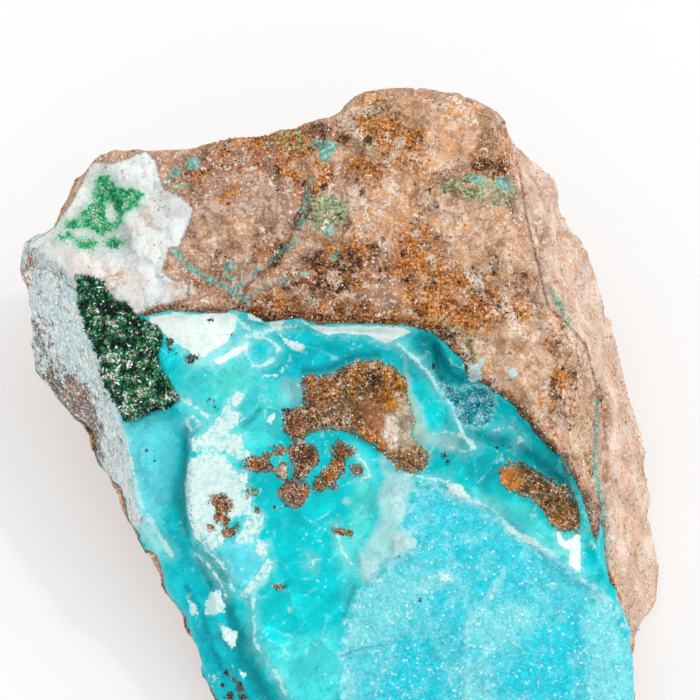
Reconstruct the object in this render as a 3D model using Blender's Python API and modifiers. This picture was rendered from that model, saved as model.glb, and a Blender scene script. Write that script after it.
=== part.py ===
"""A chrysocolla specimen: a wedge of quartz and limonite rock with a cut-through vein, on a flat break.

The shape is set out on its display face, which leans back from level. Places there are in millimetres
right and down from the upper left corner of a square that the face nearly fills, where an eye straight
in front of the square's middle sees them. A third number, where there is one, is the height above the
face's middle plane. The block is a loft through stations round the face. Then the face's relief is cut,
the flanks are chipped, and the rock is stood up and cut off flat where it rests.
"""

import math

import bmesh
import bpy
import numpy as np
from mathutils import Matrix, Vector, noise

NAME = "chrysocolla_specimen"
MM = 0.001
FACE_SQUARE = 70.0
FACE_TILT = 28.0
FACE_HEIGHT = 25.4
EYE_DISTANCE = 420.0
BASE_CENTRE = (-1.0, -6.5)  # the specimen's middle, right of and behind the point under the face's middle
CREST = 3.5  # the rough block reaches this far above the face's middle plane
BELOW_TABLE = 4.0  # and this far below the table
VOXEL = 0.55
TRIANGLES = 10400  # before the part below the table is cut off
STONE_COLOUR = (0.13, 0.60, 0.60, 1.0)

# Chips: how far apart the middles of two are, and how wide the worn edge between two is, as a share.
LARGE_CHIP = 9.0
SMALL_CHIP = 3.4
CHIP_EDGE = 0.12
SNAP = 0.05  # points nearer to the table than this lie on it
NOISE_SEED = 1795452459  # which of the noise's patterns the stone's surface has

# Stations round the specimen, clockwise from the lower left. Each has a place on the rim of the display
# face, one on the widest line of the flank, and where the flank meets the table, in millimetres right of
# and behind the point under the face's middle.
STATIONS = (
    ((22.4, 70.0, -3.6), (22.2, 70.3, -6.5), (-10.0, -26.5)),
    ((20.6, 66.5, -4.0), (20.2, 67.0, -8.0), (-11.8, -23.0)),
    ((18.4, 60.5, -4.2), (18.4, 62.0, -9.0), (-13.2, -18.5)),
    ((16.2, 54.8, -4.4), (15.4, 56.7, -10.0), (-14.6, -13.5)),
    ((13.6, 51.4, -4.4), (13.0, 52.4, -10.0), (-17.0, -9.0)),
    ((12.9, 47.6, -4.6), (10.6, 47.0, -12.5), (-20.0, -3.5)),
    ((12.2, 42.6, -4.6), (8.2, 43.6, -14.0), (-22.5, 1.5)),
    ((10.8, 38.5, -4.4), (4.6, 39.0, -14.0), (-24.5, 6.5)),
    ((9.6, 34.4, -4.2), (2.6, 34.6, -13.0), (-26.0, 11.0)),
    ((8.1, 30.0, -4.0), (2.4, 31.0, -12.5), (-26.5, 14.5)),
    ((7.7, 26.8, -4.2), (2.1, 27.6, -11.5), (-26.5, 17.5)),
    ((5.6, 23.8, -5.0), (2.7, 24.4, -11.0), (-26.0, 20.0)),
    ((5.9, 22.5, -4.6), (5.4, 22.7, -11.0), (-25.0, 23.0)),
    ((7.8, 18.9, -3.6), (7.5, 19.0, -11.0), (-24.0, 25.5)),
    ((9.4, 16.0, -2.6), (9.1, 16.3, -11.0), (-22.5, 27.0)),
    ((10.6, 15.3, -2.4), (10.8, 15.9, -11.0), (-20.5, 28.0)),
    ((15.0, 15.2, -1.8), (15.3, 16.2, -11.0), (-17.0, 28.6)),
    ((20.5, 14.7, -0.8), (21.0, 17.1, -12.0), (-12.0, 29.4)),
    ((25.2, 13.9, -0.4), (25.6, 16.9, -12.0), (-8.0, 29.8)),
    ((30.0, 12.7, -0.4), (30.5, 16.0, -12.0), (-3.5, 30.2)),
    ((34.2, 11.3, 0.6), (34.6, 15.0, -12.0), (0.0, 31.0)),
    ((36.2, 9.6, 0.8), (36.8, 13.6, -12.0), (3.0, 32.2)),
    ((39.4, 8.7, 0.8), (39.8, 12.4, -12.0), (6.5, 32.8)),
    ((43.4, 8.7, 0.8), (43.4, 12.2, -12.0), (10.0, 32.0)),
    ((47.2, 9.8, 0.8), (46.8, 12.8, -12.0), (13.0, 30.5)),
    ((49.6, 11.0, 0.8), (49.6, 13.4, -12.0), (15.5, 29.0)),
    ((51.0, 14.0, 0.4), (52.2, 15.6, -12.0), (17.5, 27.0)),
    ((52.8, 17.6, -3.0), (55.0, 18.6, -14.0), (20.0, 24.5)),
    ((54.2, 20.6, -5.0), (56.2, 21.8, -15.0), (21.0, 22.5)),
    ((55.2, 25.6, -6.0), (59.0, 25.0, -15.5), (23.5, 18.5)),
    ((57.2, 30.0, -6.4), (60.2, 30.6, -15.5), (25.0, 14.0)),
    ((59.4, 34.4, -6.6), (61.8, 34.8, -15.5), (26.0, 10.5)),
    ((60.9, 40.0, -6.8), (63.6, 40.4, -16.0), (27.5, 5.0)),
    ((61.4, 45.0, -6.8), (64.8, 45.6, -16.5), (28.5, 0.0)),
    ((61.3, 50.4, -6.8), (65.2, 51.0, -16.5), (29.5, -5.5)),
    ((61.5, 55.2, -6.4), (66.0, 55.8, -15.5), (30.0, -10.5)),
    ((61.8, 58.6, -5.0), (65.6, 60.0, -13.5), (29.8, -14.5)),
    ((62.2, 62.0, -3.0), (64.4, 62.8, -11.0), (28.8, -18.5)),
    ((62.8, 66.0, -1.0), (62.9, 66.4, -8.0), (27.0, -23.0)),
    ((63.3, 70.0, -1.0), (63.3, 70.4, -6.0), (26.0, -26.5)),
    ((63.2, 74.8, -1.2), (63.0, 75.8, -5.0), (25.6, -32.0)),
    ((61.6, 79.2, -1.6), (62.0, 80.4, -4.6), (25.0, -37.0)),
    ((57.0, 80.6, -1.2), (57.4, 83.2, -4.0), (21.0, -40.5)),
    ((50.6, 83.8, -1.0), (50.2, 85.0, -3.4), (14.0, -42.3)),
    ((44.0, 82.4, -1.6), (43.6, 84.8, -3.8), (8.5, -42.3)),
    ((37.6, 83.0, -2.0), (36.8, 84.2, -3.8), (2.0, -41.0)),
    ((31.6, 79.0, -2.2), (30.0, 81.2, -4.5), (-4.0, -38.0)),
    ((27.0, 76.6, -3.0), (25.8, 77.4, -5.4), (-7.8, -33.5)),
)

# Flat breaks across the back and the left: a place right of, behind and above the point on the table under
# the face's middle, the direction that the break faces as seen from above, in degrees anticlockwise from
# the right, and how many degrees it faces upwards.
BACK_BREAKS = (
    ((-14.0, 27.5, 12.0), 116.0, 6.0),
    ((14.0, 28.3, 10.0), 66.0, 2.0),
    ((0.0, 29.2, 9.0), 94.0, -24.0),
    ((-27.0, 14.0, 9.0), 176.0, -34.0),
)

# The display face falls away from its middle along these facets: a place, the height there, the direction
# of the fall in degrees anticlockwise from the face's right, and the fall in millimetres per millimetre.
FACETS = (
    ((35.0, 50.0), 0.0, 270.0, 0.0),
    ((19.0, 33.0), 0.0, 185.0, 0.32),
    ((20.0, 60.0), 0.0, 206.0, 0.35),
    ((50.0, 30.0), 0.0, 15.0, 0.10),
    ((42.0, 12.0), 0.0, 85.0, 0.30),
)

# Levels that stand above or below the face, each with its height, the width of its edge and its outline.
LEVELS = (
    ("right_band", -6.6, 3.6, (
        (51.6, 12.0), (51.9, 16.0), (52.6, 20.0), (53.2, 24.0), (54.8, 28.0), (57.0, 32.0), (58.0, 35.0),
        (58.2, 40.0), (58.5, 44.5), (59.4, 48.0), (60.6, 52.0), (61.6, 56.0), (63.0, 60.0), (66.0, 66.0),
        (80.0, 60.0), (80.0, 10.0))),
    ("matrix", 1.2, 0.5, (
        (10.0, 10.0), (14.5, 31.5), (19.0, 31.4), (23.2, 30.9), (26.5, 32.2), (29.0, 31.8), (32.0, 32.5),
        (38.0, 32.6), (43.5, 33.3), (45.0, 36.3), (48.5, 38.8), (52.8, 42.5), (56.3, 45.5), (57.6, 50.5),
        (59.0, 55.0), (62.0, 60.0), (75.0, 50.0), (75.0, 0.0), (20.0, 0.0))),
    ("upper_block", 0.8, 0.9, (
        (33.0, 8.0), (32.6, 13.5), (31.2, 16.5), (30.8, 19.0), (29.3, 21.5), (29.4, 24.5), (27.8, 26.6),
        (24.5, 29.6), (27.0, 30.2), (31.0, 29.0), (38.0, 29.5), (46.0, 33.0), (53.0, 40.0), (60.0, 44.0),
        (75.0, 30.0), (75.0, 0.0), (40.0, 0.0))),
    ("left_band", -2.6, 0.7, (
        (10.0, 43.0), (16.0, 40.2), (18.7, 41.9), (19.2, 42.9), (18.8, 46.0), (18.6, 50.4), (18.9, 53.0),
        (20.0, 56.0), (21.0, 60.0), (22.0, 64.0), (24.0, 69.0), (26.0, 76.0), (20.0, 90.0), (0.0, 80.0),
        (0.0, 50.0))),
    ("scarp", -1.2, 2.6, (
        (19.0, 53.0), (21.5, 55.2), (22.9, 57.2), (23.4, 59.4), (25.2, 61.5), (25.6, 64.7), (27.1, 67.9),
        (29.0, 72.0), (30.0, 80.0), (20.0, 90.0), (0.0, 80.0), (10.0, 55.0))),
    ("trough", -1.3, 1.6, (
        (26.5, 37.5), (31.0, 34.6), (37.0, 34.4), (41.5, 35.0), (43.5, 37.5), (44.5, 40.5), (46.0, 44.0),
        (45.5, 46.0), (43.2, 46.8), (40.0, 47.5), (36.0, 44.5), (31.5, 43.0), (28.5, 42.0))),
    ("blue_hollow", -1.3, 0.8, (
        (43.6, 34.2), (45.0, 37.2), (48.0, 38.6), (50.5, 40.2), (53.5, 43.4), (56.4, 45.8), (57.2, 48.0),
        (54.5, 47.4), (51.0, 44.6), (47.6, 43.8), (46.0, 41.6), (44.6, 39.2), (43.4, 36.6))),
    ("druse_shelf", -0.5, 0.35, (
        (41.0, 48.8), (44.0, 48.6), (46.5, 50.0), (50.0, 51.6), (52.0, 53.0), (54.5, 55.5), (57.0, 57.5),
        (60.5, 60.0), (66.0, 70.0), (62.0, 90.0), (33.0, 90.0), (34.2, 67.0), (34.8, 62.0), (36.5, 58.5),
        (38.6, 56.2), (41.5, 55.2), (41.8, 54.0), (40.1, 53.0), (39.8, 51.3))),
    ("malachite_bed", -0.5, 0.5, (
        (8.0, 27.6), (10.6, 28.0), (11.4, 30.2), (13.0, 30.6), (14.6, 32.2), (16.1, 33.6), (15.8, 35.4),
        (17.0, 38.4), (17.9, 40.1), (15.0, 41.4), (12.5, 42.4), (11.4, 39.8), (9.8, 35.0), (8.1, 31.6))),
)

# Ridges and cracks: the height of the line's middle, its half width, and its course.
LINES = (
    ("step_rim", 0.7, 0.9, ((19.6, 42.5), (19.4, 46.0), (19.2, 50.0), (19.6, 53.4), (22.0, 55.2))),
    ("hollow_rim", 0.6, 0.9, ((40.0, 34.6), (42.6, 37.0), (44.2, 40.0), (46.0, 43.6), (48.0, 45.4))),
    ("right_bench", 0.6, 1.2, ((47.0, 47.0), (51.0, 50.4), (55.0, 53.8), (59.5, 58.0))),
    ("flank_crack", -1.4, 0.4, (
        (52.1, 16.5), (54.5, 26.0), (58.0, 33.5), (60.1, 40.0), (60.5, 50.0), (61.0, 58.0))),
)

# Broad swells and dips: middle, height, and the half widths across and down.
SWELLS = (
    ((48.0, 62.0), 1.3, 11.0, 10.0),
    ((30.0, 60.0), -0.9, 6.0, 9.0),
    ((46.0, 24.0), 0.8, 8.0, 9.0),
    ((14.0, 23.0), -0.8, 5.0, 5.0),
    ((36.0, 42.0), 0.4, 4.0, 3.0),
    ((15.5, 47.0), 0.7, 3.0, 5.0),
)


def face_point(place):
    """A place seen at x, y and at this height, as millimetres right, up and out from the face's middle."""
    x, y, height = place
    spread = 1 - height / EYE_DISTANCE
    return np.array(((x - FACE_SQUARE / 2) * spread, (FACE_SQUARE / 2 - y) * spread, height))


def in_face_axes(vector):
    """A vector right, behind and above, as millimetres right, up and out in the display face's axes."""
    right, behind, above = vector
    lean = math.radians(FACE_TILT)
    up = behind * math.cos(lean) + above * math.sin(lean)
    out = above * math.cos(lean) - behind * math.sin(lean)
    return np.array((right, up, out))


def table_point(right, behind, above=0.0):
    """A place over the table in the display face's axes."""
    return in_face_axes((right, behind, above - FACE_HEIGHT))


def rings():
    """The block's outlines, from its crest down to just under the table, one point for each station."""
    crest, rim, girdle, foot = [], [], [], []
    for rim_place, girdle_place, foot_place in STATIONS:
        edge, wide, base = face_point(rim_place), face_point(girdle_place), table_point(*foot_place)
        crest.append(np.array((edge[0], edge[1], CREST)))
        rim.append(edge)
        girdle.append(wide)
        foot.append(base - in_face_axes((0.0, 0.0, BELOW_TABLE)))
    return crest, rim, girdle, foot


def loft(rock):
    """A block through the rings, closed at both ends."""
    loops = [[rock.verts.new(point * MM) for point in ring] for ring in rings()]
    for upper, lower in zip(loops, loops[1:]):
        for i in range(len(upper)):
            rock.faces.new((upper[i], upper[i - 1], lower[i - 1], lower[i]))
    rock.faces.new(loops[0])
    rock.faces.new(reversed(loops[-1]))
    bmesh.ops.triangulate(rock, faces=rock.faces[:])
    bmesh.ops.recalc_face_normals(rock, faces=rock.faces[:])


def slice_off(rock, place, facing):
    """Cuts away what lies beyond a plane and closes the block there."""
    cut = bmesh.ops.bisect_plane(
        rock,
        geom=rock.verts[:] + rock.edges[:] + rock.faces[:],
        dist=1e-7,
        plane_co=place,
        plane_no=facing,
        clear_outer=True,
    )
    rim = [item for item in cut["geom_cut"] if isinstance(item, bmesh.types.BMEdge)]
    bmesh.ops.holes_fill(rock, edges=rim)


def rough_block():
    """The specimen before its display face is cut."""
    rock = bmesh.new()
    loft(rock)
    for place, direction, upwards in BACK_BREAKS:
        turn, rise = math.radians(direction), math.radians(upwards)
        facing = (math.cos(rise) * math.cos(turn), math.cos(rise) * math.sin(turn), math.sin(rise))
        slice_off(rock, table_point(*place) * MM, in_face_axes(facing))
    mesh = bpy.data.meshes.new(NAME)
    rock.to_mesh(mesh)
    rock.free()
    made = bpy.data.objects.new(NAME, mesh)
    collection = bpy.data.collections.new("chrysocolla specimen")
    bpy.context.scene.collection.children.link(collection)
    collection.objects.link(made)
    return made


def apply_modifiers(obj):
    """Replaces the object's mesh by what its modifiers make of it."""
    graph = bpy.context.evaluated_depsgraph_get()
    made = bpy.data.meshes.new_from_object(obj.evaluated_get(graph))
    obj.modifiers.clear()
    obj.data = made


def even_out(obj, voxel):
    """Gives the object an even mesh of squares this many millimetres wide."""
    remesh = obj.modifiers.new("even_out", "REMESH")
    remesh.mode = "VOXEL"
    remesh.voxel_size = voxel * MM
    apply_modifiers(obj)


def points_of(obj):
    """The object's points in millimetres, one row each."""
    points = np.empty(len(obj.data.vertices) * 3, np.float32)
    obj.data.vertices.foreach_get("co", points)
    return points.reshape(-1, 3).astype(float) / MM


def set_points(obj, points):
    obj.data.vertices.foreach_set("co", (points * MM).astype(np.float32).ravel())
    obj.data.update()


def normals_of(obj):
    normals = np.empty(len(obj.data.vertices) * 3, np.float32)
    obj.data.vertices.foreach_get("normal", normals)
    return normals.reshape(-1, 3).astype(float)


def smooth_step(value):
    """0 below 0, 1 above 1, and a smooth rise between."""
    t = np.clip(value, 0.0, 1.0)
    return t * t * (3 - 2 * t)


def stretch_distance(x, y, start, end):
    """Distance of each place from the stretch between two places."""
    along = np.array(end) - start
    t = ((x - start[0]) * along[0] + (y - start[1]) * along[1]) / (along @ along)
    t = np.clip(t, 0.0, 1.0)
    return np.hypot(x - start[0] - t * along[0], y - start[1] - t * along[1])


def line_distance(x, y, line):
    """Distance of each place from a line through several places."""
    return np.min([stretch_distance(x, y, a, b) for a, b in zip(line, line[1:])], axis=0)


def depth_inside(x, y, outline):
    """How far each place is inside an outline. It is negative outside."""
    distance = line_distance(x, y, outline + outline[:1])
    inside = np.zeros(len(x), bool)
    for (ax, ay), (bx, by) in zip(outline, outline[1:] + outline[:1]):
        crosses = (ay > y) != (by > y)
        inside ^= crosses & (x < ax + (y - ay) * (bx - ax) / ((by - ay) or 1e-9))
    return np.where(inside, distance, -distance)


def wobble(points, size, amount):
    """A smooth random shift for each point, whose swings are about this many millimetres apart."""
    return amount * np.array([noise.noise_vector(Vector(p) / size) for p in points])


def chips(points, size, amount):
    """Flat chips at random tilts, about this many millimetres across: how far each point stands out."""
    out = np.empty(len(points))
    for i, point in enumerate(points):
        place = Vector(point) / size
        near, middles = noise.voronoi(place)
        heights = []
        for middle in middles[:2]:
            tilt = noise.noise_vector(middle * 5.3 + Vector((2.7, 0.4, 1.9)))
            heights.append(1.6 * (place - middle).dot(tilt) + 0.8 * noise.noise(middle * 3.7))
        share = min(1.0, (near[1] - near[0]) / CHIP_EDGE)
        out[i] = heights[0] * (0.5 + share / 2) + heights[1] * (0.5 - share / 2)
    return amount * out


def relief(x, y):
    """Height of the display face above its middle plane, at each place."""
    falls = []
    for (fx, fy), height, direction, fall in FACETS:
        turn = math.radians(direction)
        along = (x - fx) * math.cos(turn) - (y - fy) * math.sin(turn)
        falls.append(height - fall * along)
    height = np.min(falls, axis=0)
    for _, rise, edge, outline in LEVELS:
        height += rise * np.clip(0.5 + depth_inside(x, y, outline) / edge, 0.0, 1.0)
    for _, rise, width, line in LINES:
        height += rise * np.exp(-((line_distance(x, y, line) / width) ** 2))
    for (sx, sy), rise, across, down in SWELLS:
        height += rise * np.exp(-(((x - sx) / across) ** 2) - ((y - sy) / down) ** 2)
    return height


def cut_face(obj):
    """Cuts the display face: nothing is left above its relief."""
    points = points_of(obj)
    shifted = points + wobble(points, 2.6, 0.35) + wobble(points, 0.9, 0.12)
    spread = 1 - points[:, 2] / EYE_DISTANCE
    x = FACE_SQUARE / 2 + shifted[:, 0] / spread
    y = FACE_SQUARE / 2 - shifted[:, 1] / spread
    points[:, 2] = np.minimum(points[:, 2], relief(x, y))
    set_points(obj, points)


def roughen(obj):
    """Chips the rock: little on the display face and its rim, and more down the flanks and the back."""
    points, normals = points_of(obj), normals_of(obj)
    flank = 1 - smooth_step((normals[:, 2] - 0.3) / 0.5)
    deep = smooth_step((-points[:, 2] - 5.0) / 14.0)
    push = chips(points, LARGE_CHIP, 0.08 + 0.35 * flank + 0.85 * flank * deep)
    push += chips(points, SMALL_CHIP, 0.10 + 0.22 * flank + 0.15 * flank * deep)
    set_points(obj, points + normals * push[:, None])


def stand_up(obj):
    """Leans the display face back, sets it at its height, and cuts the rock off flat at the table."""
    lean = Matrix.Rotation(math.radians(FACE_TILT), 4, "X")
    middle = Vector((-BASE_CENTRE[0], -BASE_CENTRE[1], FACE_HEIGHT)) * MM
    obj.data.transform(Matrix.Translation(middle) @ lean)
    rock = bmesh.new()
    rock.from_mesh(obj.data)
    for vert in rock.verts:
        if abs(vert.co.z) < SNAP * MM:
            vert.co.z = 0.0
    slice_off(rock, (0.0, 0.0, 0.0), (0.0, 0.0, -1.0))
    rock.to_mesh(obj.data)
    rock.free()


def thin_out(obj, triangles):
    """Keeps this many triangles, where the shape needs them most."""
    obj.data.calc_loop_triangles()
    decimate = obj.modifiers.new("thin_out", "DECIMATE")
    decimate.ratio = triangles / len(obj.data.loop_triangles)
    decimate.use_collapse_triangulate = True
    apply_modifiers(obj)


def stone_material():
    material = bpy.data.materials.new("stone")
    material.use_nodes = True
    shader = material.node_tree.nodes["Principled BSDF"]
    shader.inputs["Base Color"].default_value = STONE_COLOUR
    shader.inputs["Roughness"].default_value = 0.5
    return material


def make_specimen():
    specimen = rough_block()
    even_out(specimen, VOXEL)
    cut_face(specimen)
    even_out(specimen, VOXEL)
    roughen(specimen)
    thin_out(specimen, TRIANGLES)
    stand_up(specimen)
    specimen.data.shade_smooth()
    specimen.data.materials.append(stone_material())


noise.seed_set(NOISE_SEED)
for startup in list(bpy.data.objects):
    bpy.data.objects.remove(startup)
make_specimen()
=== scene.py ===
"""The looks of a chrysocolla specimen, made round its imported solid.

The stone is one closed mesh in the solid's place. Its display face is cut again, finer, from the same levels
and ridges as the solid, and its flanks are the solid's own, evened out and chipped. Places on the display face
are millimetres right and down from the upper left corner of a 70 mm square that the face nearly fills, as seen
from straight in front. Each mineral is an outline there; how deep a point lies inside it is kept on the mesh,
and the stone's material turns that into crisp, ragged edges. Grains, needles and small crystals stand on it.
"""

import math

import bpy
import numpy as np
from mathutils import Matrix, Vector, noise


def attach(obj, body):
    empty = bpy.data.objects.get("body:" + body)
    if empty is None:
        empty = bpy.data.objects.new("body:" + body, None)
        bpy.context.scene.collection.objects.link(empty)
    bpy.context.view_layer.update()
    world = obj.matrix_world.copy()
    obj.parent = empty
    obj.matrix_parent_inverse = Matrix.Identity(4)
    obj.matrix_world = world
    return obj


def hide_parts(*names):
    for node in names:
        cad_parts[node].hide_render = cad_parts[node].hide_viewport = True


NODE = "chrysocolla_specimen"
BODY = "root"
MM = 0.001

# The display face in the solid's frame, as part.py sets it.
FACE_SQUARE = 70.0
FACE_TILT = 28.0
FACE_MIDDLE = (1.0, 6.5, 25.4)
EYE_DISTANCE = 420.0

VOXEL = 0.24
FACET_SIZE = 3.1
STONE_TRIANGLES = 186000
OUT_OF_REACH = -3.0  # a mineral's depth far outside its outline
NOISE_SEED = 1795452459

# ---------------------------------------------------------------- outlines on the display face, in millimetres

RIM = (
    (22.4, 70.0), (20.6, 66.5), (18.4, 60.5), (16.2, 54.8), (13.6, 51.4), (12.9, 47.6), (12.2, 42.6),
    (10.8, 38.5), (9.6, 34.4), (8.1, 30.0), (7.7, 26.8), (5.6, 23.8), (5.9, 22.5), (7.8, 18.9), (9.4, 16.0),
    (10.6, 15.3), (15.0, 15.2), (20.5, 14.7), (25.2, 13.9), (30.0, 12.7), (34.2, 11.3), (36.2, 9.6),
    (39.4, 8.7), (43.4, 8.7), (47.2, 9.8), (49.6, 11.0), (51.0, 14.0), (52.8, 17.6), (54.2, 20.6),
    (55.2, 25.6), (57.2, 30.0), (59.4, 34.4), (60.9, 40.0), (61.4, 45.0), (61.3, 50.4), (61.5, 55.2),
    (61.8, 58.6), (62.2, 62.0), (62.8, 66.0), (63.3, 70.0), (63.2, 74.8), (61.6, 79.2), (57.0, 80.6),
    (50.6, 83.8), (44.0, 82.4), (37.6, 83.0), (31.6, 79.0), (27.0, 76.6),
)

ROCK = (
    (14.3, 31.6), (17.0, 31.0), (20.0, 31.3), (22.5, 31.3), (23.2, 30.9), (25.5, 31.5), (26.5, 32.2),
    (28.0, 32.0), (30.0, 31.8), (32.0, 32.5), (34.0, 32.3), (37.6, 32.4), (41.1, 32.6), (43.3, 33.3),
    (44.4, 34.2), (45.4, 35.2), (46.3, 36.1), (46.7, 37.7), (48.3, 38.3), (49.4, 39.2), (50.4, 39.7),
    (51.5, 40.6), (51.9, 41.5), (52.8, 42.2), (53.3, 43.1), (54.2, 44.0), (55.2, 45.2), (56.0, 45.6),
    (56.6, 47.5), (57.2, 49.6), (57.2, 50.8), (57.4, 52.0), (57.7, 53.3), (58.0, 52.5), (57.9, 51.0),
    (57.5, 49.6), (57.0, 48.2), (56.8, 47.2), (57.5, 48.0), (58.1, 49.4), (58.5, 50.6), (58.9, 51.9),
    (59.2, 53.2), (59.6, 54.3), (59.9, 53.3), (60.1, 52.0), (60.2, 50.6), (60.5, 52.0), (60.8, 54.0),
    (61.1, 57.0), (62.0, 60.0), (64.0, 62.5), (70.0, 62.0), (78.0, 50.0), (78.0, -5.0), (-5.0, -5.0),
    (-5.0, 22.0), (4.4, 23.6), (8.0, 28.2), (12.0, 31.0),
)
WEATHERED = (
    (1.0, 26.6), (1.6, 24.6), (3.4, 23.0), (5.4, 22.4), (6.9, 20.4), (8.2, 18.0), (9.1, 16.0), (11.2, 16.2),
    (12.8, 15.7),
    (14.7, 14.9), (15.7, 16.2), (16.1, 17.6), (16.5, 18.8), (17.6, 19.3), (18.6, 19.9), (19.4, 20.8),
    (19.2, 21.9), (18.6, 23.4), (18.0, 24.8), (17.0, 24.9), (16.8, 25.8), (16.4, 27.0), (17.4, 27.9),
    (18.6, 28.0), (19.0, 28.6), (18.9, 29.9), (17.2, 30.4), (15.8, 30.6), (14.4, 31.3), (13.4, 31.6),
    (12.4, 30.6), (10.6, 29.6), (10.0, 28.6), (8.6, 29.4), (7.4, 29.0), (5.0, 27.0), (3.0, 26.8), (0.8, 28.0),
)
RIGHT_FLANK = (
    (51.9, 12.0), (52.3, 17.0), (53.6, 22.0), (54.6, 27.0), (55.4, 30.0), (56.3, 32.2), (57.9, 33.6),
    (59.0, 35.2), (59.6, 37.0), (60.4, 40.0), (60.3, 43.0), (60.3, 46.0), (60.6, 48.0), (60.8, 52.0),
    (61.1, 56.6), (62.0, 60.0), (64.0, 64.0), (74.0, 60.0), (74.0, 12.0),
)
PALE_CRUST = (
    (3.6, 25.0), (5.4, 26.0), (7.2, 27.8), (8.0, 30.5), (8.9, 33.6), (9.8, 35.4), (10.5, 38.0), (11.6, 40.2), (12.3, 42.6),
    (13.0, 46.0), (13.4, 49.6), (14.4, 52.2), (12.9, 53.4), (10.6, 47.2), (8.2, 43.8), (4.4, 39.4),
    (1.0, 34.8), (-1.0, 27.0), (-1.0, 20.0), (8.6, 17.6), (8.6, 23.0), (5.2, 24.6),
)
INCLUSIONS = (
    ((30.4, 37.6), (32.6, 37.5), (34.4, 36.8), (35.9, 36.1), (37.6, 36.1), (39.6, 36.8), (40.5, 37.9),
     (40.6, 39.0), (41.0, 40.6), (41.5, 42.2), (41.2, 43.6), (41.9, 44.6), (42.8, 45.3), (42.6, 46.6),
     (41.7, 47.3), (39.7, 46.9), (39.5, 46.2), (38.1, 45.2), (37.2, 44.4), (35.8, 43.6), (34.9, 43.1),
     (32.4, 42.9), (31.2, 43.2), (30.0, 44.1), (29.1, 44.0), (28.4, 43.1), (28.3, 41.9), (28.2, 40.9),
     (29.2, 40.9), (30.3, 40.5), (30.4, 39.4), (30.2, 38.4)),
    ((24.1, 46.2), (25.4, 45.5), (26.6, 46.0), (27.4, 46.8), (26.8, 47.3), (25.2, 47.2)),
    ((27.2, 44.7), (28.0, 44.4), (28.7, 45.0), (28.4, 45.5), (27.5, 45.3)),
    ((26.4, 45.2), (27.0, 45.1), (27.1, 45.7), (26.6, 45.9)),
    ((29.0, 44.6), (30.0, 44.0), (31.6, 44.7), (31.9, 45.9), (31.3, 46.8), (30.6, 47.4), (30.2, 48.2),
     (29.2, 48.2), (29.4, 46.9), (29.0, 46.0)),
    ((27.4, 46.9), (28.4, 46.3), (28.9, 47.0), (28.6, 47.9), (27.8, 47.9)),
    ((33.6, 43.9), (34.6, 44.3), (35.6, 45.2), (34.6, 45.7), (34.4, 47.4), (33.6, 48.0), (33.7, 48.9),
     (33.1, 48.9), (32.8, 48.4), (32.3, 49.2), (31.4, 49.0), (31.5, 48.0), (32.3, 47.1), (33.2, 46.2),
     (33.2, 45.1)),
    ((35.0, 46.6), (36.0, 46.4), (36.5, 46.9), (35.8, 47.6), (35.2, 47.5)),
    ((28.9, 48.0), (30.4, 48.0), (31.0, 48.8), (30.5, 50.2), (29.8, 50.8), (28.6, 50.6), (27.9, 49.8),
     (28.0, 48.8)),
    ((21.2, 49.5), (22.2, 49.4), (23.2, 50.0), (23.1, 51.0), (22.6, 51.4), (22.2, 52.2), (21.6, 52.2),
     (21.4, 51.6), (21.8, 50.8), (20.8, 50.1)),
    ((22.3, 51.8), (23.0, 51.9), (22.8, 52.6), (22.2, 52.4)),
    ((20.8, 52.4), (21.4, 52.6), (21.3, 53.2), (20.8, 53.0)),
    ((22.3, 53.2), (23.9, 52.4), (23.9, 52.9), (23.0, 53.8), (22.3, 53.6)),
    ((25.3, 48.9), (25.9, 49.0), (25.7, 49.6), (25.3, 49.4)), ((24.5, 48.9), (25.1, 48.9), (24.8, 49.5)),
    ((25.5, 50.8), (25.9, 50.9), (25.7, 51.4)), ((27.3, 50.7), (27.6, 50.6), (27.5, 51.1)),
    ((33.1, 52.8), (34.0, 52.9), (35.3, 53.2), (35.2, 53.6), (34.2, 53.4), (33.2, 53.2)),
    ((27.2, 58.5), (27.9, 58.75), (28.6, 58.4), (28.7, 58.6), (28.0, 58.95), (27.3, 58.75)),
    ((50.0, 47.0), (51.1, 46.2), (52.2, 46.2), (53.6, 47.2), (55.1, 47.9), (56.7, 48.5), (57.3, 50.2),
     (57.8, 52.0), (57.7, 53.3), (57.1, 52.8), (56.4, 53.1), (55.2, 52.6), (54.5, 51.0), (53.0, 49.8),
     (51.0, 49.2), (50.1, 48.5)),
)
WHITE = {  # torn white skins on the chrysocolla
    "shelf": ((15.0, 31.75), (17.4, 31.3), (19.4, 31.5), (22.5, 31.2), (23.7, 31.5), (23.6, 32.5),
              (23.2, 33.4), (22.5, 34.4), (21.4, 35.0), (20.4, 35.7), (19.4, 35.6), (18.7, 34.9),
              (17.4, 34.2), (16.5, 33.4), (15.0, 32.5)),
    "strip": ((30.1, 32.0), (31.1, 32.5), (32.8, 32.7), (36.0, 32.6), (40.1, 32.7), (41.1, 33.1),
              (38.6, 34.4), (36.7, 33.5), (34.0, 33.3), (32.8, 33.5), (31.6, 33.0), (30.4, 32.3)),
    "wedge": ((24.7, 30.4), (25.4, 30.6), (26.3, 32.3), (24.8, 31.9)),
    "scrap": ((26.8, 32.2), (28.4, 32.1), (28.0, 32.9), (27.2, 32.7)),
    "streak": ((24.7, 34.3), (24.7, 34.9), (23.2, 35.8), (21.8, 36.5), (21.4, 36.0), (23.0, 35.1)),
    "side_facet": ((55.6, 52.7), (56.5, 54.1), (57.2, 53.9), (57.6, 53.2), (58.1, 53.5), (58.0, 57.2),
                   (56.9, 56.5), (57.0, 55.1), (55.9, 54.5)),
}
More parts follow.
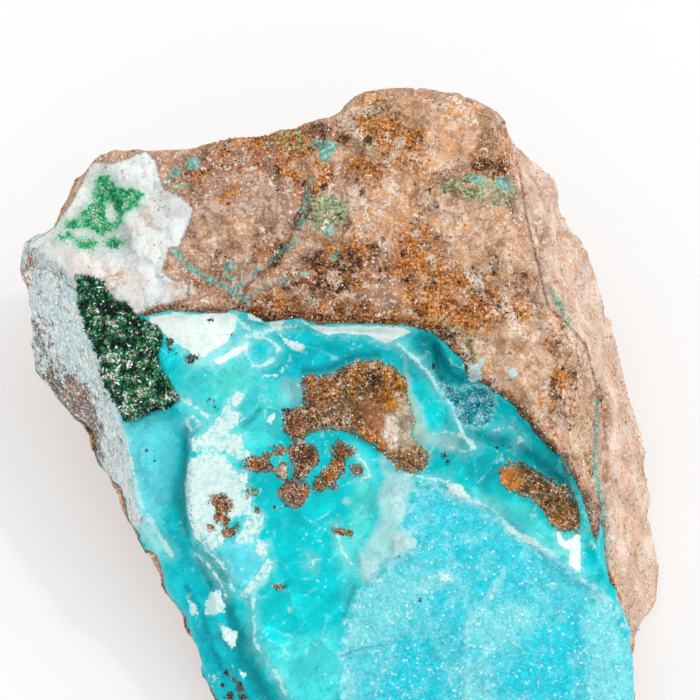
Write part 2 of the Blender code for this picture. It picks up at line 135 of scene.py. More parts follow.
TORN = {  # white with torn edges and holes
    "jagged": ((23.6, 39.2), (24.4, 39.5), (23.9, 40.3), (23.2, 40.9), (23.9, 41.4), (23.7, 42.5),
               (22.8, 42.9), (22.7, 43.5), (24.1, 43.6), (24.3, 44.8), (25.1, 45.4), (23.8, 45.8),
               (22.5, 45.0), (20.9, 45.1), (19.4, 45.0), (19.0, 44.0), (20.7, 43.4), (21.2, 42.8),
               (21.6, 42.0), (22.3, 41.4), (22.7, 40.4)),
    "bank": ((19.0, 46.0), (20.6, 45.4), (22.5, 45.6), (23.4, 47.0), (24.6, 47.2), (24.6, 49.2),
             (25.0, 49.9), (24.9, 51.2), (23.3, 51.6), (22.8, 52.3), (21.8, 52.6), (22.5, 53.6),
             (22.2, 54.3), (21.4, 55.0), (19.7, 53.9), (18.9, 51.6), (18.6, 48.7)),
    "scatter": ((24.9, 51.4), (26.3, 51.6), (26.0, 52.8), (25.2, 54.2), (23.6, 54.2), (24.4, 53.0)),
    "crest": ((24.2, 59.5), (25.3, 58.1), (26.2, 57.0), (26.9, 55.9), (27.3, 56.5), (26.7, 57.5), (25.6, 58.3), (24.6, 59.7)),
    "foot": ((25.7, 54.0), (26.7, 54.4), (26.4, 55.8), (25.7, 55.4)),
}
CHIPS = {  # small crisp white chips
    "block": ((28.0, 33.5), (29.1, 34.1), (30.6, 34.5), (30.1, 35.2), (29.2, 34.9), (28.3, 34.1)),
    "low_left": ((18.8, 60.1), (19.5, 60.3), (19.8, 61.4), (19.2, 61.7)),
    "low_middle": ((20.6, 60.2), (21.2, 59.2), (22.0, 59.0), (22.6, 60.6), (22.4, 61.3), (21.4, 61.5),
                   (20.5, 61.5)),
    "low_right": ((22.0, 62.4), (22.8, 62.8), (23.7, 63.3), (23.6, 64.4), (23.1, 64.9), (22.4, 63.9)),
    "crumb_a": ((20.9, 67.3), (21.6, 67.5), (21.6, 68.3), (21.0, 68.1)),
    "crumb_b": ((23.9, 66.9), (24.6, 67.2), (24.4, 67.9)),
    "bench_line": ((51.0, 52.8), (53.0, 53.7), (54.8, 55.0), (54.2, 55.1), (52.8, 54.2), (50.9, 53.3)),
    "rock_chip": ((46.7, 37.5), (46.9, 36.3), (47.8, 36.2), (48.3, 35.4), (48.5, 36.4), (48.1, 37.0),
                  (48.2, 38.0), (47.1, 38.2)),
    "rock_fleck": ((50.6, 37.0), (51.3, 36.7), (52.0, 37.2), (51.6, 37.9), (50.9, 37.8)),
    "flake": ((44.6, 48.3), (46.0, 48.5), (47.1, 49.8), (46.0, 49.7), (44.9, 49.3)),
    "needle_a": ((26.1, 37.65), (26.9, 37.35), (27.7, 37.3), (27.7, 37.55), (26.9, 37.65)),
    "needle_b": ((27.8, 37.3), (28.3, 36.75), (28.5, 36.85), (28.05, 37.35)),
    "needle_c": ((26.75, 42.0), (27.25, 41.25), (27.6, 41.4), (27.05, 42.3)),
    "inclusion_blob": ((38.5, 41.6), (39.2, 41.6), (39.2, 43.0), (38.8, 44.7), (38.4, 44.4), (38.3, 43.0)),
    "inclusion_chip": ((32.4, 38.1), (33.3, 38.1), (33.5, 39.0), (32.8, 39.0)),
    "druse_spot": ((43.9, 57.4), (44.8, 57.4), (44.9, 58.0), (44.1, 58.1)),
}
# Pale lines, and dark lines of cracks and of painted shadow: half the width and the course.
PALE_LINES = (
    (0.16, ((39.9, 34.5), (41.7, 36.1), (42.9, 37.4), (43.8, 39.0), (45.4, 40.4), (45.8, 42.2), (46.5, 43.8),
            (47.6, 44.6))),
    (0.13, ((24.8, 33.7), (26.65, 33.8), (27.9, 34.8), (27.2, 36.0), (26.0, 36.7), (25.3, 36.5),
            (24.6, 35.3), (24.8, 33.7))),
    (0.15, ((17.8, 39.7), (19.5, 40.65), (20.8, 41.6))),
    (0.12, ((18.4, 42.0), (19.4, 41.7), (20.0, 42.5), (19.2, 43.1), (18.5, 42.1))),
    (0.12, ((24.6, 33.6), (26.4, 33.2), (28.0, 32.8), (29.6, 32.6))),
    (0.10, ((23.6, 31.8), (25.0, 33.0), (26.6, 33.6))),
    (0.10, ((35.2, 44.8), (36.4, 46.2), (37.0, 47.6), (36.0, 48.0))),
    (0.10, ((19.6, 55.4), (21.0, 56.6), (22.0, 58.0), (22.6, 59.6))),
    (0.10, ((20.4, 54.9), (22.0, 56.2), (22.9, 57.8), (23.4, 59.2))),
    (0.13, ((25.3, 60.0), (25.4, 62.0), (25.5, 64.4), (26.6, 66.0), (27.6, 67.4), (28.6, 69.4))),
    (0.13, ((46.6, 49.8), (49.3, 50.9), (51.2, 53.0), (54.6, 55.0), (57.4, 57.0), (60.0, 59.6))),
    (0.14, ((41.7, 59.2), (42.6, 58.0), (44.4, 57.4), (46.0, 58.0))),
    (0.08, ((46.6, 65.0), (46.8, 62.6), (48.0, 60.8), (49.6, 58.6), (50.4, 57.0))),
    (0.07, ((46.8, 66.2), (46.6, 70.0))),
    (0.07, ((30.9, 55.6), (31.3, 56.0), (31.2, 56.8), (30.9, 56.6), (30.9, 55.6))),
    (0.10, ((33.6, 52.6), (34.2, 55.2), (35.2, 56.4), (36.2, 57.4))),
    (0.20, ((12.3, 43.2), (13.2, 46.6), (13.9, 50.0), (15.4, 52.6), (17.2, 55.6))),
    (0.10, ((43.3, 43.4), (44.8, 43.2), (46.8, 43.8), (47.7, 44.6), (46.4, 45.2), (45.0, 44.6))),
    (0.10, ((49.5, 43.0), (51.0, 42.6), (52.2, 44.0), (51.4, 44.6))),
    (0.12, ((38.7, 45.6), (40.4, 47.4), (42.6, 47.8), (44.8, 48.2))),
)
CRACK_AND_SHADOW_LINES = (
    (0.16, ((26.0, 41.0), (25.2, 41.9), (24.4, 42.5))),
    (0.07, ((34.0, 65.7), (35.2, 65.2), (36.9, 64.7), (38.7, 64.5))),
    (0.30, ((19.9, 56.0), (21.2, 58.6), (23.0, 61.0), (24.2, 64.0))),
    # Painted shadow at the foot of the step.
    (0.30, ((18.7, 43.0), (18.5, 46.0), (18.3, 50.4), (18.7, 53.4))),
    # Painted shadow under the brown inclusion's upper edge.
    (0.35, ((30.4, 37.1), (32.6, 36.9), (35.0, 35.8), (37.6, 35.5))),
    (0.30, ((38.9, 45.4), (39.8, 46.9), (41.6, 47.4))),
    (0.10, ((35.4, 58.6), (35.0, 60.0), (34.4, 61.8))),
    (0.12, ((35.0, 43.4), (37.2, 44.7), (38.2, 45.6))),
    (0.20, ((43.6, 34.6), (44.6, 36.4), (45.6, 37.8), (48.0, 38.4))),
    (0.25, ((49.0, 43.6), (52.0, 44.6), (54.6, 46.6), (56.4, 48.0))),
    (0.10, ((20.4, 64.0), (22.0, 63.6), (23.4, 65.0))),
    (0.20, ((20.9, 55.6), (22.3, 58.8), (23.2, 62.2), (24.1, 65.6), (26.2, 68.6), (27.4, 70.4))),
    (0.12, ((18.6, 58.6), (20.2, 61.2), (21.2, 64.6), (22.4, 67.4))),
)
ROCK_CHIPS = (  # cream quartz
    ((28.4, 17.9), (29.1, 17.7), (29.6, 18.8), (29.5, 20.0), (28.8, 19.6), (28.5, 18.8)),
    ((34.2, 11.4), (35.4, 10.7), (37.4, 10.6), (37.0, 11.3), (35.6, 11.6)),
    ((39.2, 14.2), (40.6, 13.3), (40.3, 14.6), (39.6, 15.8), (38.8, 16.1)),
    ((42.9, 15.2), (43.5, 14.0), (43.6, 15.0), (43.2, 16.1)),
    ((34.6, 18.8), (36.4, 18.2), (36.2, 19.6), (35.6, 21.2), (35.0, 20.6)),
    ((41.4, 19.6), (42.8, 19.3), (44.0, 19.8), (43.2, 20.5), (41.8, 20.3)),
    ((42.6, 25.6), (43.2, 25.5), (43.6, 26.4), (43.3, 26.8)),
    ((34.1, 29.2), (35.0, 29.0), (35.8, 29.5), (34.8, 29.6)), ((35.1, 27.6), (35.9, 27.3), (35.8, 28.3)),
    ((32.8, 27.4), (33.6, 27.0), (34.2, 27.8), (33.8, 28.7), (33.0, 28.4)), ((42.2, 27.8), (42.9, 27.7), (42.7, 28.4)),
    ((20.4, 24.2), (21.4, 23.4), (22.4, 23.8), (21.6, 24.6)), ((38.3, 18.2), (39.4, 17.9), (40.0, 18.8), (38.9, 19.2)),
    ((45.4, 22.2), (46.4, 22.0), (46.2, 22.9)), ((25.2, 18.8), (25.8, 18.6), (25.7, 19.5)),
    ((48.2, 26.6), (49.4, 26.2), (49.2, 27.2), (48.4, 27.4)), ((46.0, 28.8), (46.8, 28.4), (46.6, 29.6)),
    ((53.0, 33.2), (54.4, 33.0), (54.0, 34.2), (53.2, 34.4)), ((50.4, 24.0), (51.4, 23.6), (51.0, 24.8)),
    ((55.6, 41.0), (56.2, 40.6), (56.4, 43.4), (55.8, 43.6)), ((40.6, 23.4), (42.0, 22.9), (41.8, 23.8)),
    ((18.2, 28.6), (19.2, 28.2), (19.6, 29.2), (18.6, 29.6)), ((44.4, 12.6), (45.4, 12.2), (45.2, 13.2)),
)
# Painted shade: small hollows painted dark, with no hollow cut into the mesh.
SHADED_PITS = (  # dark hollows in the rock: a place and half a width
    ((34.5, 13.9), 0.34), ((36.8, 14.0), 0.42), ((32.3, 18.7), 0.34), ((36.2, 19.2), 0.30), ((35.0, 25.2), 0.50),
    ((36.0, 26.2), 0.42), ((40.4, 25.3), 0.34), ((27.8, 17.0), 0.26), ((31.6, 26.7), 0.42), ((29.6, 28.4), 0.40),
    ((28.7, 29.0), 0.30), ((31.2, 28.8), 0.36), ((38.4, 24.0), 0.26), ((24.0, 17.4), 0.20), ((26.4, 16.0), 0.26),
    ((49.0, 16.2), 0.44), ((50.2, 16.8), 0.34), ((47.6, 16.6), 0.26), ((44.0, 17.6), 0.24), ((52.4, 27.6), 0.24),
    ((50.0, 30.6), 0.28), ((46.6, 31.4), 0.26), ((55.4, 38.4), 0.36), ((56.0, 39.6), 0.28), ((43.4, 29.8), 0.26),
    ((22.8, 20.4), 0.18), ((25.4, 24.8), 0.20), ((34.2, 31.2), 0.32), ((38.6, 31.0), 0.28), ((27.0, 31.2), 0.30),
)
CRACKS = (  # dark: half the width and the course
    (0.10, ((52.0, 17.2), (52.6, 21.6), (53.7, 26.1), (54.8, 30.7), (57.0, 32.6), (58.6, 34.6), (59.8, 39.3),
            (59.4, 45.7), (60.2, 52.1), (60.9, 57.2), (62.4, 61.0))),
    (0.08, ((30.7, 18.6), (29.7, 22.4), (28.2, 25.6), (25.6, 27.8), (23.6, 29.6))),
    (0.06, ((41.0, 29.2), (43.4, 27.6), (46.8, 27.0), (49.0, 28.4))),
    (0.06, ((56.4, 40.0), (56.9, 44.0), (57.6, 48.0), (58.4, 52.0))),
)
# The crust's needle bed and the bright malachite, with the white hole in it.
NEEDLES = (
    (7.5, 27.4), (9.4, 27.6), (10.5, 28.3), (11.2, 29.9), (12.8, 30.5), (13.9, 31.7), (15.9, 32.8),
    (16.3, 33.7), (15.8, 35.3), (15.9, 36.6), (16.9, 38.0), (17.9, 39.9), (17.2, 40.6), (15.0, 41.2),
    (12.5, 42.3), (11.5, 40.0), (10.4, 38.0), (9.7, 35.0), (8.9, 33.6), (8.0, 31.2),
)
MALACHITE = (
    ((10.1, 17.6), (11.0, 17.6), (11.7, 18.9), (13.3, 18.9), (14.2, 19.4), (13.7, 20.5), (12.5, 21.1),
     (11.8, 22.4), (10.9, 23.2), (10.0, 23.5), (9.0, 22.6), (8.3, 21.3), (9.4, 20.0), (9.4, 18.4)),
    ((6.4, 22.2), (8.6, 21.7), (8.8, 22.6), (7.0, 22.8)), ((5.4, 23.8), (7.0, 23.3), (7.2, 23.9)),
    ((7.7, 24.2), (8.6, 23.8), (9.7, 24.2), (8.9, 24.9), (8.0, 24.6)),
    ((10.4, 24.4), (11.4, 23.9), (12.6, 24.3), (11.6, 24.9)),
)
MALACHITE_HOLE = ((10.5, 20.2), (11.2, 20.1), (11.8, 21.6), (11.5, 22.3), (10.8, 22.4), (10.4, 21.4))
VEINS = (
    ((16.5, 17.9), (17.6, 16.8), (18.4, 16.7), (19.2, 15.8), (20.3, 15.4), (20.0, 16.8), (18.6, 16.8),
     (17.6, 17.8)),
    ((12.6, 16.4), (13.0, 15.8), (15.3, 14.7), (15.6, 15.0), (13.6, 16.2)),
    ((31.0, 13.8), (33.2, 14.2), (33.8, 14.6), (33.0, 15.6), (32.4, 16.3), (31.8, 15.2)),
    ((46.8, 17.6), (48.4, 17.3), (48.8, 18.2), (47.6, 18.6)), ((49.6, 17.7), (51.2, 17.7), (51.3, 18.8), (50.0, 19.3)),
    ((22.3, 26.4), (23.4, 26.2), (23.5, 26.9), (22.6, 27.1)), ((22.3, 27.6), (23.6, 27.6), (23.2, 28.0)),
    ((26.6, 30.5), (27.3, 31.0), (26.7, 31.1)), ((55.6, 29.5), (56.7, 30.6), (56.4, 30.9)),
    ((32.4, 22.8), (33.2, 22.6), (33.4, 23.6), (32.6, 23.6)), ((33.0, 25.4), (33.9, 25.0), (33.6, 26.4)),
)
VEIN_LINES = (
    (0.22, ((17.4, 25.0), (18.9, 26.6), (20.1, 27.4), (21.7, 28.3), (23.4, 29.2), (24.6, 29.9))),
    (0.09, ((16.8, 18.7), (18.4, 18.6), (20.0, 18.8))),
    (0.16, ((31.0, 18.0), (30.2, 21.9), (29.4, 24.2), (27.1, 26.1), (25.2, 27.5), (23.6, 28.8))),
    (0.12, ((31.0, 27.2), (27.9, 28.1), (26.0, 28.8), (24.7, 29.9), (24.6, 31.0))),
    (0.16, ((56.2, 45.8), (56.8, 47.8), (57.9, 50.4), (58.7, 52.6), (59.3, 54.6))),
    (0.10, ((59.7, 40.0), (59.6, 43.3), (59.3, 46.0))),
    (0.24, ((59.3, 46.0), (59.6, 48.0), (60.0, 49.4))),
    (0.13, ((60.0, 49.4), (60.35, 51.2), (60.55, 53.6), (60.9, 57.0))),
    (0.10, ((54.6, 28.2), (56.0, 31.0), (57.4, 33.0))),
)
SPOTS = (  # nearly black: a place and half a width
    ((16.8, 34.2), 0.42), ((17.0, 35.0), 0.25), ((19.0, 35.9), 0.42), ((19.6, 35.6), 0.25), ((17.6, 35.4), 0.12),
    ((21.1, 32.0), 0.22), ((23.1, 33.5), 0.12), ((21.4, 40.1), 0.17), ((21.5, 40.75), 0.18),
    ((21.0, 40.5), 0.15), ((20.9, 40.0), 0.10), ((44.4, 45.5), 0.30), ((44.8, 46.2), 0.24),
    ((49.7, 44.7), 0.14), ((50.3, 44.5), 0.14), ((50.9, 44.7), 0.14), ((42.0, 60.0), 0.12),
    ((14.6, 45.0), 0.10), ((15.5, 46.1), 0.12), ((41.6, 48.4), 0.14), ((37.2, 37.8), 0.50),
    ((24.0, 68.8), 0.45), ((23.0, 69.6), 0.5), ((22.6, 67.3), 0.26), ((23.4, 68.0), 0.28), ((24.3, 69.7), 0.40),
    ((22.2, 68.6), 0.24), ((39.9, 55.6), 0.12), ((43.2, 36.6), 0.22),
)
DRUSE = (
    (43.8, 48.4), (45.5, 49.4), (47.0, 49.8), (49.3, 50.9), (51.2, 53.0), (53.1, 54.0), (55.0, 55.1),
    (57.0, 56.5), (58.9, 58.2), (60.4, 59.5), (61.5, 60.6), (66.0, 66.0), (66.0, 92.0), (32.0, 92.0),
    (34.4, 72.0), (34.0, 67.1), (34.0, 65.4), (34.5, 62.5), (35.4, 60.2), (36.5, 58.5), (38.6, 56.6),
    (39.7, 55.4), (40.7, 55.1), (41.7, 54.6), (41.8, 54.0), (40.1, 52.7), (40.9, 50.5), (41.4, 48.6),
)
BLUE = (
    ((43.9, 38.55), (44.7, 38.6), (46.1, 39.2), (46.5, 40.1), (45.4, 40.25), (44.4, 39.7)),
    ((45.4, 40.4), (46.5, 39.0), (47.6, 38.6), (49.2, 39.2), (49.4, 40.4), (49.0, 41.9), (48.1, 42.6),
     (46.5, 42.4), (45.6, 41.7)),
)
LENS = ((24.8, 33.7), (26.65, 33.8), (27.9, 34.8), (27.2, 36.0), (26.0, 36.7), (25.3, 36.5), (24.6, 35.3))
SCAB = ((39.4, 52.9), (40.4, 53.1), (41.2, 52.7), (41.6, 53.6), (42.0, 54.2), (41.4, 55.0), (40.6, 54.9), (39.9, 55.7),
        (38.9, 56.3), (39.4, 55.0), (39.1, 54.0))
SMALL_CHIPS = (
    ((43.3, 43.6), (44.8, 43.2), (46.6, 43.6), (47.6, 44.6), (46.6, 45.2), (44.8, 45.0)),
    ((49.5, 43.0), (51.0, 42.6), (52.2, 44.0), (51.6, 44.6), (50.4, 43.9)),
    ((18.5, 42.0), (19.4, 41.8), (19.9, 42.5), (19.2, 43.0)),
    ((35.6, 54.7), (36.8, 55.7), (38.0, 56.9), (37.1, 58.3), (36.2, 57.3)),
    ((34.4, 59.4), (35.3, 58.0), (35.7, 58.6), (35.2, 60.4)),
)

# ---------------------------------------------------------------- relief of the display face, in millimetres

# Part.py's facets, levels, ridges and swells, and after them the finer ones that only this mesh has.
FACETS = (
    ((35.0, 50.0), 0.0, 270.0, 0.0), ((19.0, 33.0), 0.0, 185.0, 0.32), ((20.0, 60.0), 0.0, 206.0, 0.35),
    ((50.0, 30.0), 0.0, 15.0, 0.10), ((42.0, 12.0), 0.0, 85.0, 0.30),
)
LEVELS = (
    ("right_band", -6.6, 3.6, (
        (51.6, 12.0), (51.9, 16.0), (52.6, 20.0), (53.2, 24.0), (54.8, 28.0), (57.0, 32.0), (58.0, 35.0),
        (58.2, 40.0), (58.5, 44.5), (59.4, 48.0), (60.6, 52.0), (61.6, 56.0), (63.0, 60.0), (66.0, 66.0),
        (80.0, 60.0), (80.0, 10.0))),
    ("matrix", 1.2, 0.5, (
        (10.0, 10.0), (14.5, 31.5), (19.0, 31.4), (23.2, 30.9), (26.5, 32.2), (29.0, 31.8), (32.0, 32.5),
        (38.0, 32.6), (43.5, 33.3), (45.0, 36.3), (48.5, 38.8), (52.8, 42.5), (56.3, 45.5), (57.6, 50.5),
        (59.0, 55.0), (62.0, 60.0), (75.0, 50.0), (75.0, 0.0), (20.0, 0.0))),
    ("upper_block", 0.8, 0.9, (
        (33.0, 8.0), (32.6, 13.5), (31.2, 16.5), (30.8, 19.0), (29.3, 21.5), (29.4, 24.5), (27.8, 26.6),
        (24.5, 29.6), (27.0, 30.2), (31.0, 29.0), (38.0, 29.5), (46.0, 33.0), (53.0, 40.0), (60.0, 44.0),
        (75.0, 30.0), (75.0, 0.0), (40.0, 0.0))),
    ("left_band", -2.6, 0.7, (
        (10.0, 43.0), (16.0, 40.2), (18.7, 41.9), (19.2, 42.9), (18.8, 46.0), (18.6, 50.4), (18.9, 53.0),
        (20.0, 56.0), (21.0, 60.0), (22.0, 64.0), (24.0, 69.0), (26.0, 76.0), (20.0, 90.0), (0.0, 80.0),
        (0.0, 50.0))),
    ("scarp", -1.2, 2.6, (
        (19.0, 53.0), (21.5, 55.2), (22.9, 57.2), (23.4, 59.4), (25.2, 61.5), (25.6, 64.7), (27.1, 67.9),
        (29.0, 72.0), (30.0, 80.0), (20.0, 90.0), (0.0, 80.0), (10.0, 55.0))),
    ("trough", -1.3, 1.6, (
        (26.5, 37.5), (31.0, 34.6), (37.0, 34.4), (41.5, 35.0), (43.5, 37.5), (44.5, 40.5), (46.0, 44.0),
        (45.5, 46.0), (43.2, 46.8), (40.0, 47.5), (36.0, 44.5), (31.5, 43.0), (28.5, 42.0))),
    ("blue_hollow", -1.3, 0.8, (
        (43.6, 34.2), (45.0, 37.2), (48.0, 38.6), (50.5, 40.2), (53.5, 43.4), (56.4, 45.8), (57.2, 48.0),
        (54.5, 47.4), (51.0, 44.6), (47.6, 43.8), (46.0, 41.6), (44.6, 39.2), (43.4, 36.6))),
    ("druse_shelf", -0.5, 0.35, (
        (41.0, 48.8), (44.0, 48.6), (46.5, 50.0), (50.0, 51.6), (52.0, 53.0), (54.5, 55.5), (57.0, 57.5),
        (60.5, 60.0), (66.0, 70.0), (62.0, 90.0), (33.0, 90.0), (34.2, 67.0), (34.8, 62.0), (36.5, 58.5),
        (38.6, 56.2), (41.5, 55.2), (41.8, 54.0), (40.1, 53.0), (39.8, 51.3))),
    ("malachite_bed", -0.5, 0.5, (
        (8.0, 27.6), (10.6, 28.0), (11.4, 30.2), (13.0, 30.6), (14.6, 32.2), (16.1, 33.6), (15.8, 35.4),
        (17.0, 38.4), (17.9, 40.1), (15.0, 41.4), (12.5, 42.4), (11.4, 39.8), (9.8, 35.0), (8.1, 31.6))),
)
LINES = (
    ("step_rim", 0.7, 0.9, ((19.6, 42.5), (19.4, 46.0), (19.2, 50.0), (19.6, 53.4), (22.0, 55.2))),
    ("hollow_rim", 0.6, 0.9, ((40.0, 34.6), (42.6, 37.0), (44.2, 40.0), (46.0, 43.6), (48.0, 45.4))),
    ("right_bench", 0.6, 1.2, ((47.0, 47.0), (51.0, 50.4), (55.0, 53.8), (59.5, 58.0))),
    ("flank_crack", -1.4, 0.4, (
        (52.1, 16.5), (54.5, 26.0), (58.0, 33.5), (60.1, 40.0), (60.5, 50.0), (61.0, 58.0))),
)
SWELLS = (
    ((48.0, 62.0), 1.3, 11.0, 10.0), ((30.0, 60.0), -0.9, 6.0, 9.0), ((46.0, 24.0), 0.8, 8.0, 9.0),
    ((14.0, 23.0), -0.8, 5.0, 5.0), ((36.0, 42.0), 0.4, 4.0, 3.0), ((15.5, 47.0), 0.7, 3.0, 5.0),
)
FINE_LEVELS = (
    ("white_shelf", 0.16, 0.22, WHITE["shelf"]), ("white_strip", 0.14, 0.2, WHITE["strip"]),
    ("chip", 0.22, 0.2, CHIPS["block"]),
    ("jagged_white", 0.12, 0.18, TORN["jagged"]), ("white_bank", 0.12, 0.2, TORN["bank"]),
    ("lens", -0.22, 0.3, LENS), ("flake", 0.3, 0.2, SMALL_CHIPS[0]), ("flake", 0.26, 0.2, SMALL_CHIPS[1]),
    ("flake", 0.3, 0.2, SMALL_CHIPS[2]), ("flake", 0.3, 0.25, SMALL_CHIPS[3]), ("flake", 0.2, 0.2, SMALL_CHIPS[4]),
    ("scab", 0.35, 0.22, SCAB), ("white_flake", 0.3, 0.2, CHIPS["flake"]),
    ("rock_chip", 0.3, 0.25, CHIPS["rock_chip"]), ("rock_fleck", 0.25, 0.25, CHIPS["rock_fleck"]),
    ("nodule", 0.45, 0.8, INCLUSIONS[8]), ("brown_patch", 0.3, 0.5, INCLUSIONS[0]),
    ("brown_tongue", 0.35, 0.6, INCLUSIONS[19]), ("brown_crumb", 0.25, 0.4, INCLUSIONS[6]),
    ("brown_crumb", 0.25, 0.4, INCLUSIONS[4]), ("brown_crumb", 0.2, 0.4, INCLUSIONS[1]),
    ("brown_crumb", 0.2, 0.3, INCLUSIONS[9]), ("brown_crumb", 0.2, 0.3, INCLUSIONS[12]),
    ("white_block", 0.25, 0.3, CHIPS["low_middle"]), ("white_block", 0.25, 0.3, CHIPS["low_right"]),
    ("pale_facet", 0.35, 0.5, ((24.4, 59.2), (27.1, 56.4), (27.1, 57.8), (25.4, 59.9))),
    ("upper_ledge", 0.7, 0.6, (
        (33.5, 12.0), (36.5, 15.0), (36.0, 19.5), (34.5, 23.0), (31.0, 26.0), (28.5, 28.8), (27.0, 30.0),
        (34.0, 31.5), (44.0, 32.0), (47.0, 24.0), (51.0, 18.0), (52.0, 8.0), (34.0, 6.0))),
    ("block_step", 0.5, 0.5, (
        (46.8, 33.5), (49.5, 33.8), (52.5, 34.8), (55.2, 37.0), (56.2, 42.0), (56.6, 46.0), (58.0, 50.0),
        (62.0, 50.0), (60.0, 34.0), (55.0, 24.0), (50.0, 24.0), (47.5, 28.0))),
    ("druse_left", -0.3, 0.5, (
        (34.0, 65.7), (36.9, 64.7), (38.7, 64.4), (42.0, 63.0), (44.0, 66.0), (43.0, 72.0), (40.0, 80.0),
        (33.0, 80.0))),
    ("druse_swell", 0.35, 1.4, (
        (44.8, 62.6), (47.0, 60.8), (51.0, 60.2), (54.4, 61.6), (56.8, 64.4), (56.0, 68.0), (51.0, 69.6),
        (47.0, 68.0), (45.0, 65.6))),
    ("druse_right", 0.4, 0.6, ((57.8, 60.6), (60.6, 60.0), (64.0, 72.0), (62.0, 80.0), (58.2, 76.0))),
)
FINE_LINES = (
    ("ledge", -0.3, 0.28, ((17.8, 39.7), (19.5, 40.65), (20.8, 41.6))),
    ("ledge", 0.25, 0.25, ((24.4, 42.4), (25.2, 41.9), (26.0, 41.0))),
    ("lens_rim", 0.12, 0.22, LENS + LENS[:1]),
    ("cyan_ridge", 0.35, 0.35, ((39.9, 34.5), (41.7, 36.1), (42.9, 37.4), (43.8, 39.0), (45.4, 40.4),
                                (45.8, 42.2), (46.5, 43.8))),
    ("cyan_foot", -0.35, 0.4, ((41.1, 36.7), (42.0, 39.0), (42.4, 41.5), (43.1, 43.3), (45.1, 43.8))),
    ("matrix_groove", -0.45, 0.4, ((30.9, 18.5), (29.6, 22.5), (28.4, 25.4), (25.4, 28.0), (23.4, 29.8))),
    ("matrix_ridge", 0.4, 0.5, ((31.6, 20.5), (31.0, 24.5), (28.6, 26.6), (26.2, 28.4), (24.9, 29.6))),
    ("rock_foot", -0.5, 0.3, ((24.5, 32.2), (28.0, 32.3), (32.0, 32.8), (38.0, 32.7), (43.0, 33.4))),
    ("right_ridge", 0.7, 0.8, ((56.0, 33.0), (57.2, 38.0), (57.4, 43.0), (57.6, 47.0))),
    ("vein_groove", -0.35, 0.25, ((56.2, 45.8), (57.9, 50.4), (59.3, 54.6))),
    ("vein_groove", -0.35, 0.3, ((59.6, 40.2), (59.3, 46.6), (60.3, 51.0), (60.8, 56.7))),
    ("druse_arc", 0.3, 0.35, ((41.7, 59.2), (42.6, 58.2), (44.4, 57.7), (45.6, 58.2))),
    ("druse_arc", 0.22, 0.3, ((46.4, 65.0), (46.6, 62.4), (47.8, 60.8))),
    ("druse_arc", 0.2, 0.3, ((46.8, 66.0), (46.6, 69.6))),
    ("druse_crack", -0.25, 0.15, ((34.0, 65.7), (35.2, 65.2), (36.9, 64.7), (38.7, 64.5))),
    ("druse_edge", 0.25, 0.3, ((48.0, 51.5), (51.2, 53.2), (54.5, 55.2), (58.5, 58.2))),
    ("band_wave", 0.16, 0.3, ((19.6, 55.4), (21.0, 56.6), (22.0, 58.0))),
    ("band_wave", 0.16, 0.25, ((20.4, 54.9), (22.0, 56.2), (22.9, 57.8))),
    ("band_groove", -0.2, 0.25, ((20.0, 54.6), (20.6, 58.4), (22.6, 62.0), (23.4, 66.0))),
    ("lower_ridge", 0.45, 0.5, ((25.4, 60.2), (25.6, 64.4), (27.3, 66.2), (28.0, 67.6), (29.7, 70.0))),
    ("rim_layer", 0.3, 0.3, ((12.4, 43.5), (13.4, 47.6), (14.0, 51.2), (15.8, 53.6))),
    ("rim_layer", -0.3, 0.25, ((13.2, 43.5), (14.1, 47.6), (14.8, 50.8), (16.4, 53.4))),
)
FINE_SWELLS = (
    ((29.4, 49.4), 0.3, 1.3, 1.2), ((28.4, 39.4), -0.4, 1.0, 1.2), ((40.0, 50.0), 0.35, 1.5, 3.5),
    ((23.5, 38.0), 0.3, 2.6, 1.8), ((34.5, 48.5), -0.3, 2.6, 2.6), ((30.0, 61.0), -0.3, 3.0, 3.0),
    ((51.5, 48.5), 0.3, 1.8, 1.0), ((48.0, 46.8), -0.5, 1.6, 1.2), ((44.4, 45.9), -0.5, 0.5, 0.7),
    ((37.2, 37.8), -0.35, 0.8, 0.6), ((39.8, 43.2), -0.3, 1.0, 1.4), ((15.0, 58.0), 0.0, 1.0, 1.0),
)
FLANK_SWELL = ((5.0, 37.0), 1.5, 4.0, 5.0)

# ---------------------------------------------------------------- colours, as sRGB values from 0 to 255

PALETTE = {
    "cyan": (0, 197, 204),
    "bright cyan": (4, 208, 214),
    "deep cyan": (0, 190, 202),
    "teal": (0, 166, 174),
    "dark teal and shade": (0, 152, 158),
    "light cyan": (74, 212, 213),
    "pale cyan": (150, 226, 226),
    "sky": (96, 216, 230),
    "grey veil": (162, 208, 206),
    "milk": (186, 220, 222),
    "smoky": (140, 188, 190),
    "mint": (100, 220, 204),
    "druse": (76, 209, 223),
    "deep druse": (38, 208, 226),
    "pale druse": (124, 222, 229),
    "tan rock": (200, 156, 124),
    "pink rock": (170, 131, 109),
    "brown rock": (176, 128, 96),
    "dark rock": (128, 90, 70),
    "orange rock": (216, 162, 112),
    "pale rock": (212, 168, 129),
    "blush": (230, 188, 154),
    "olive rock": (210, 192, 150),
    "green rock": (190, 200, 166),
    "chalk": (247, 255, 252),
    "beige chalk": (254, 243, 232),
    "grey chalk": (220, 220, 222),
    "orange chalk": (244, 206, 164),
    "ochre": (230, 170, 104),
    "olive veil": (166, 176, 140),
    "umber": (160, 112, 76),
    "dark umber": (108, 70, 54),
    "amber": (226, 148, 46),
    "fox": (208, 134, 60),
    "sage": (124, 116, 82),
    "dark olive": (112, 96, 62),
    "fawn": (196, 150, 112),
    "plum": (160, 118, 108),
    "red umber": (164, 108, 74),
    "shell": (240, 226, 210),
    "horn": (196, 184, 158),
}

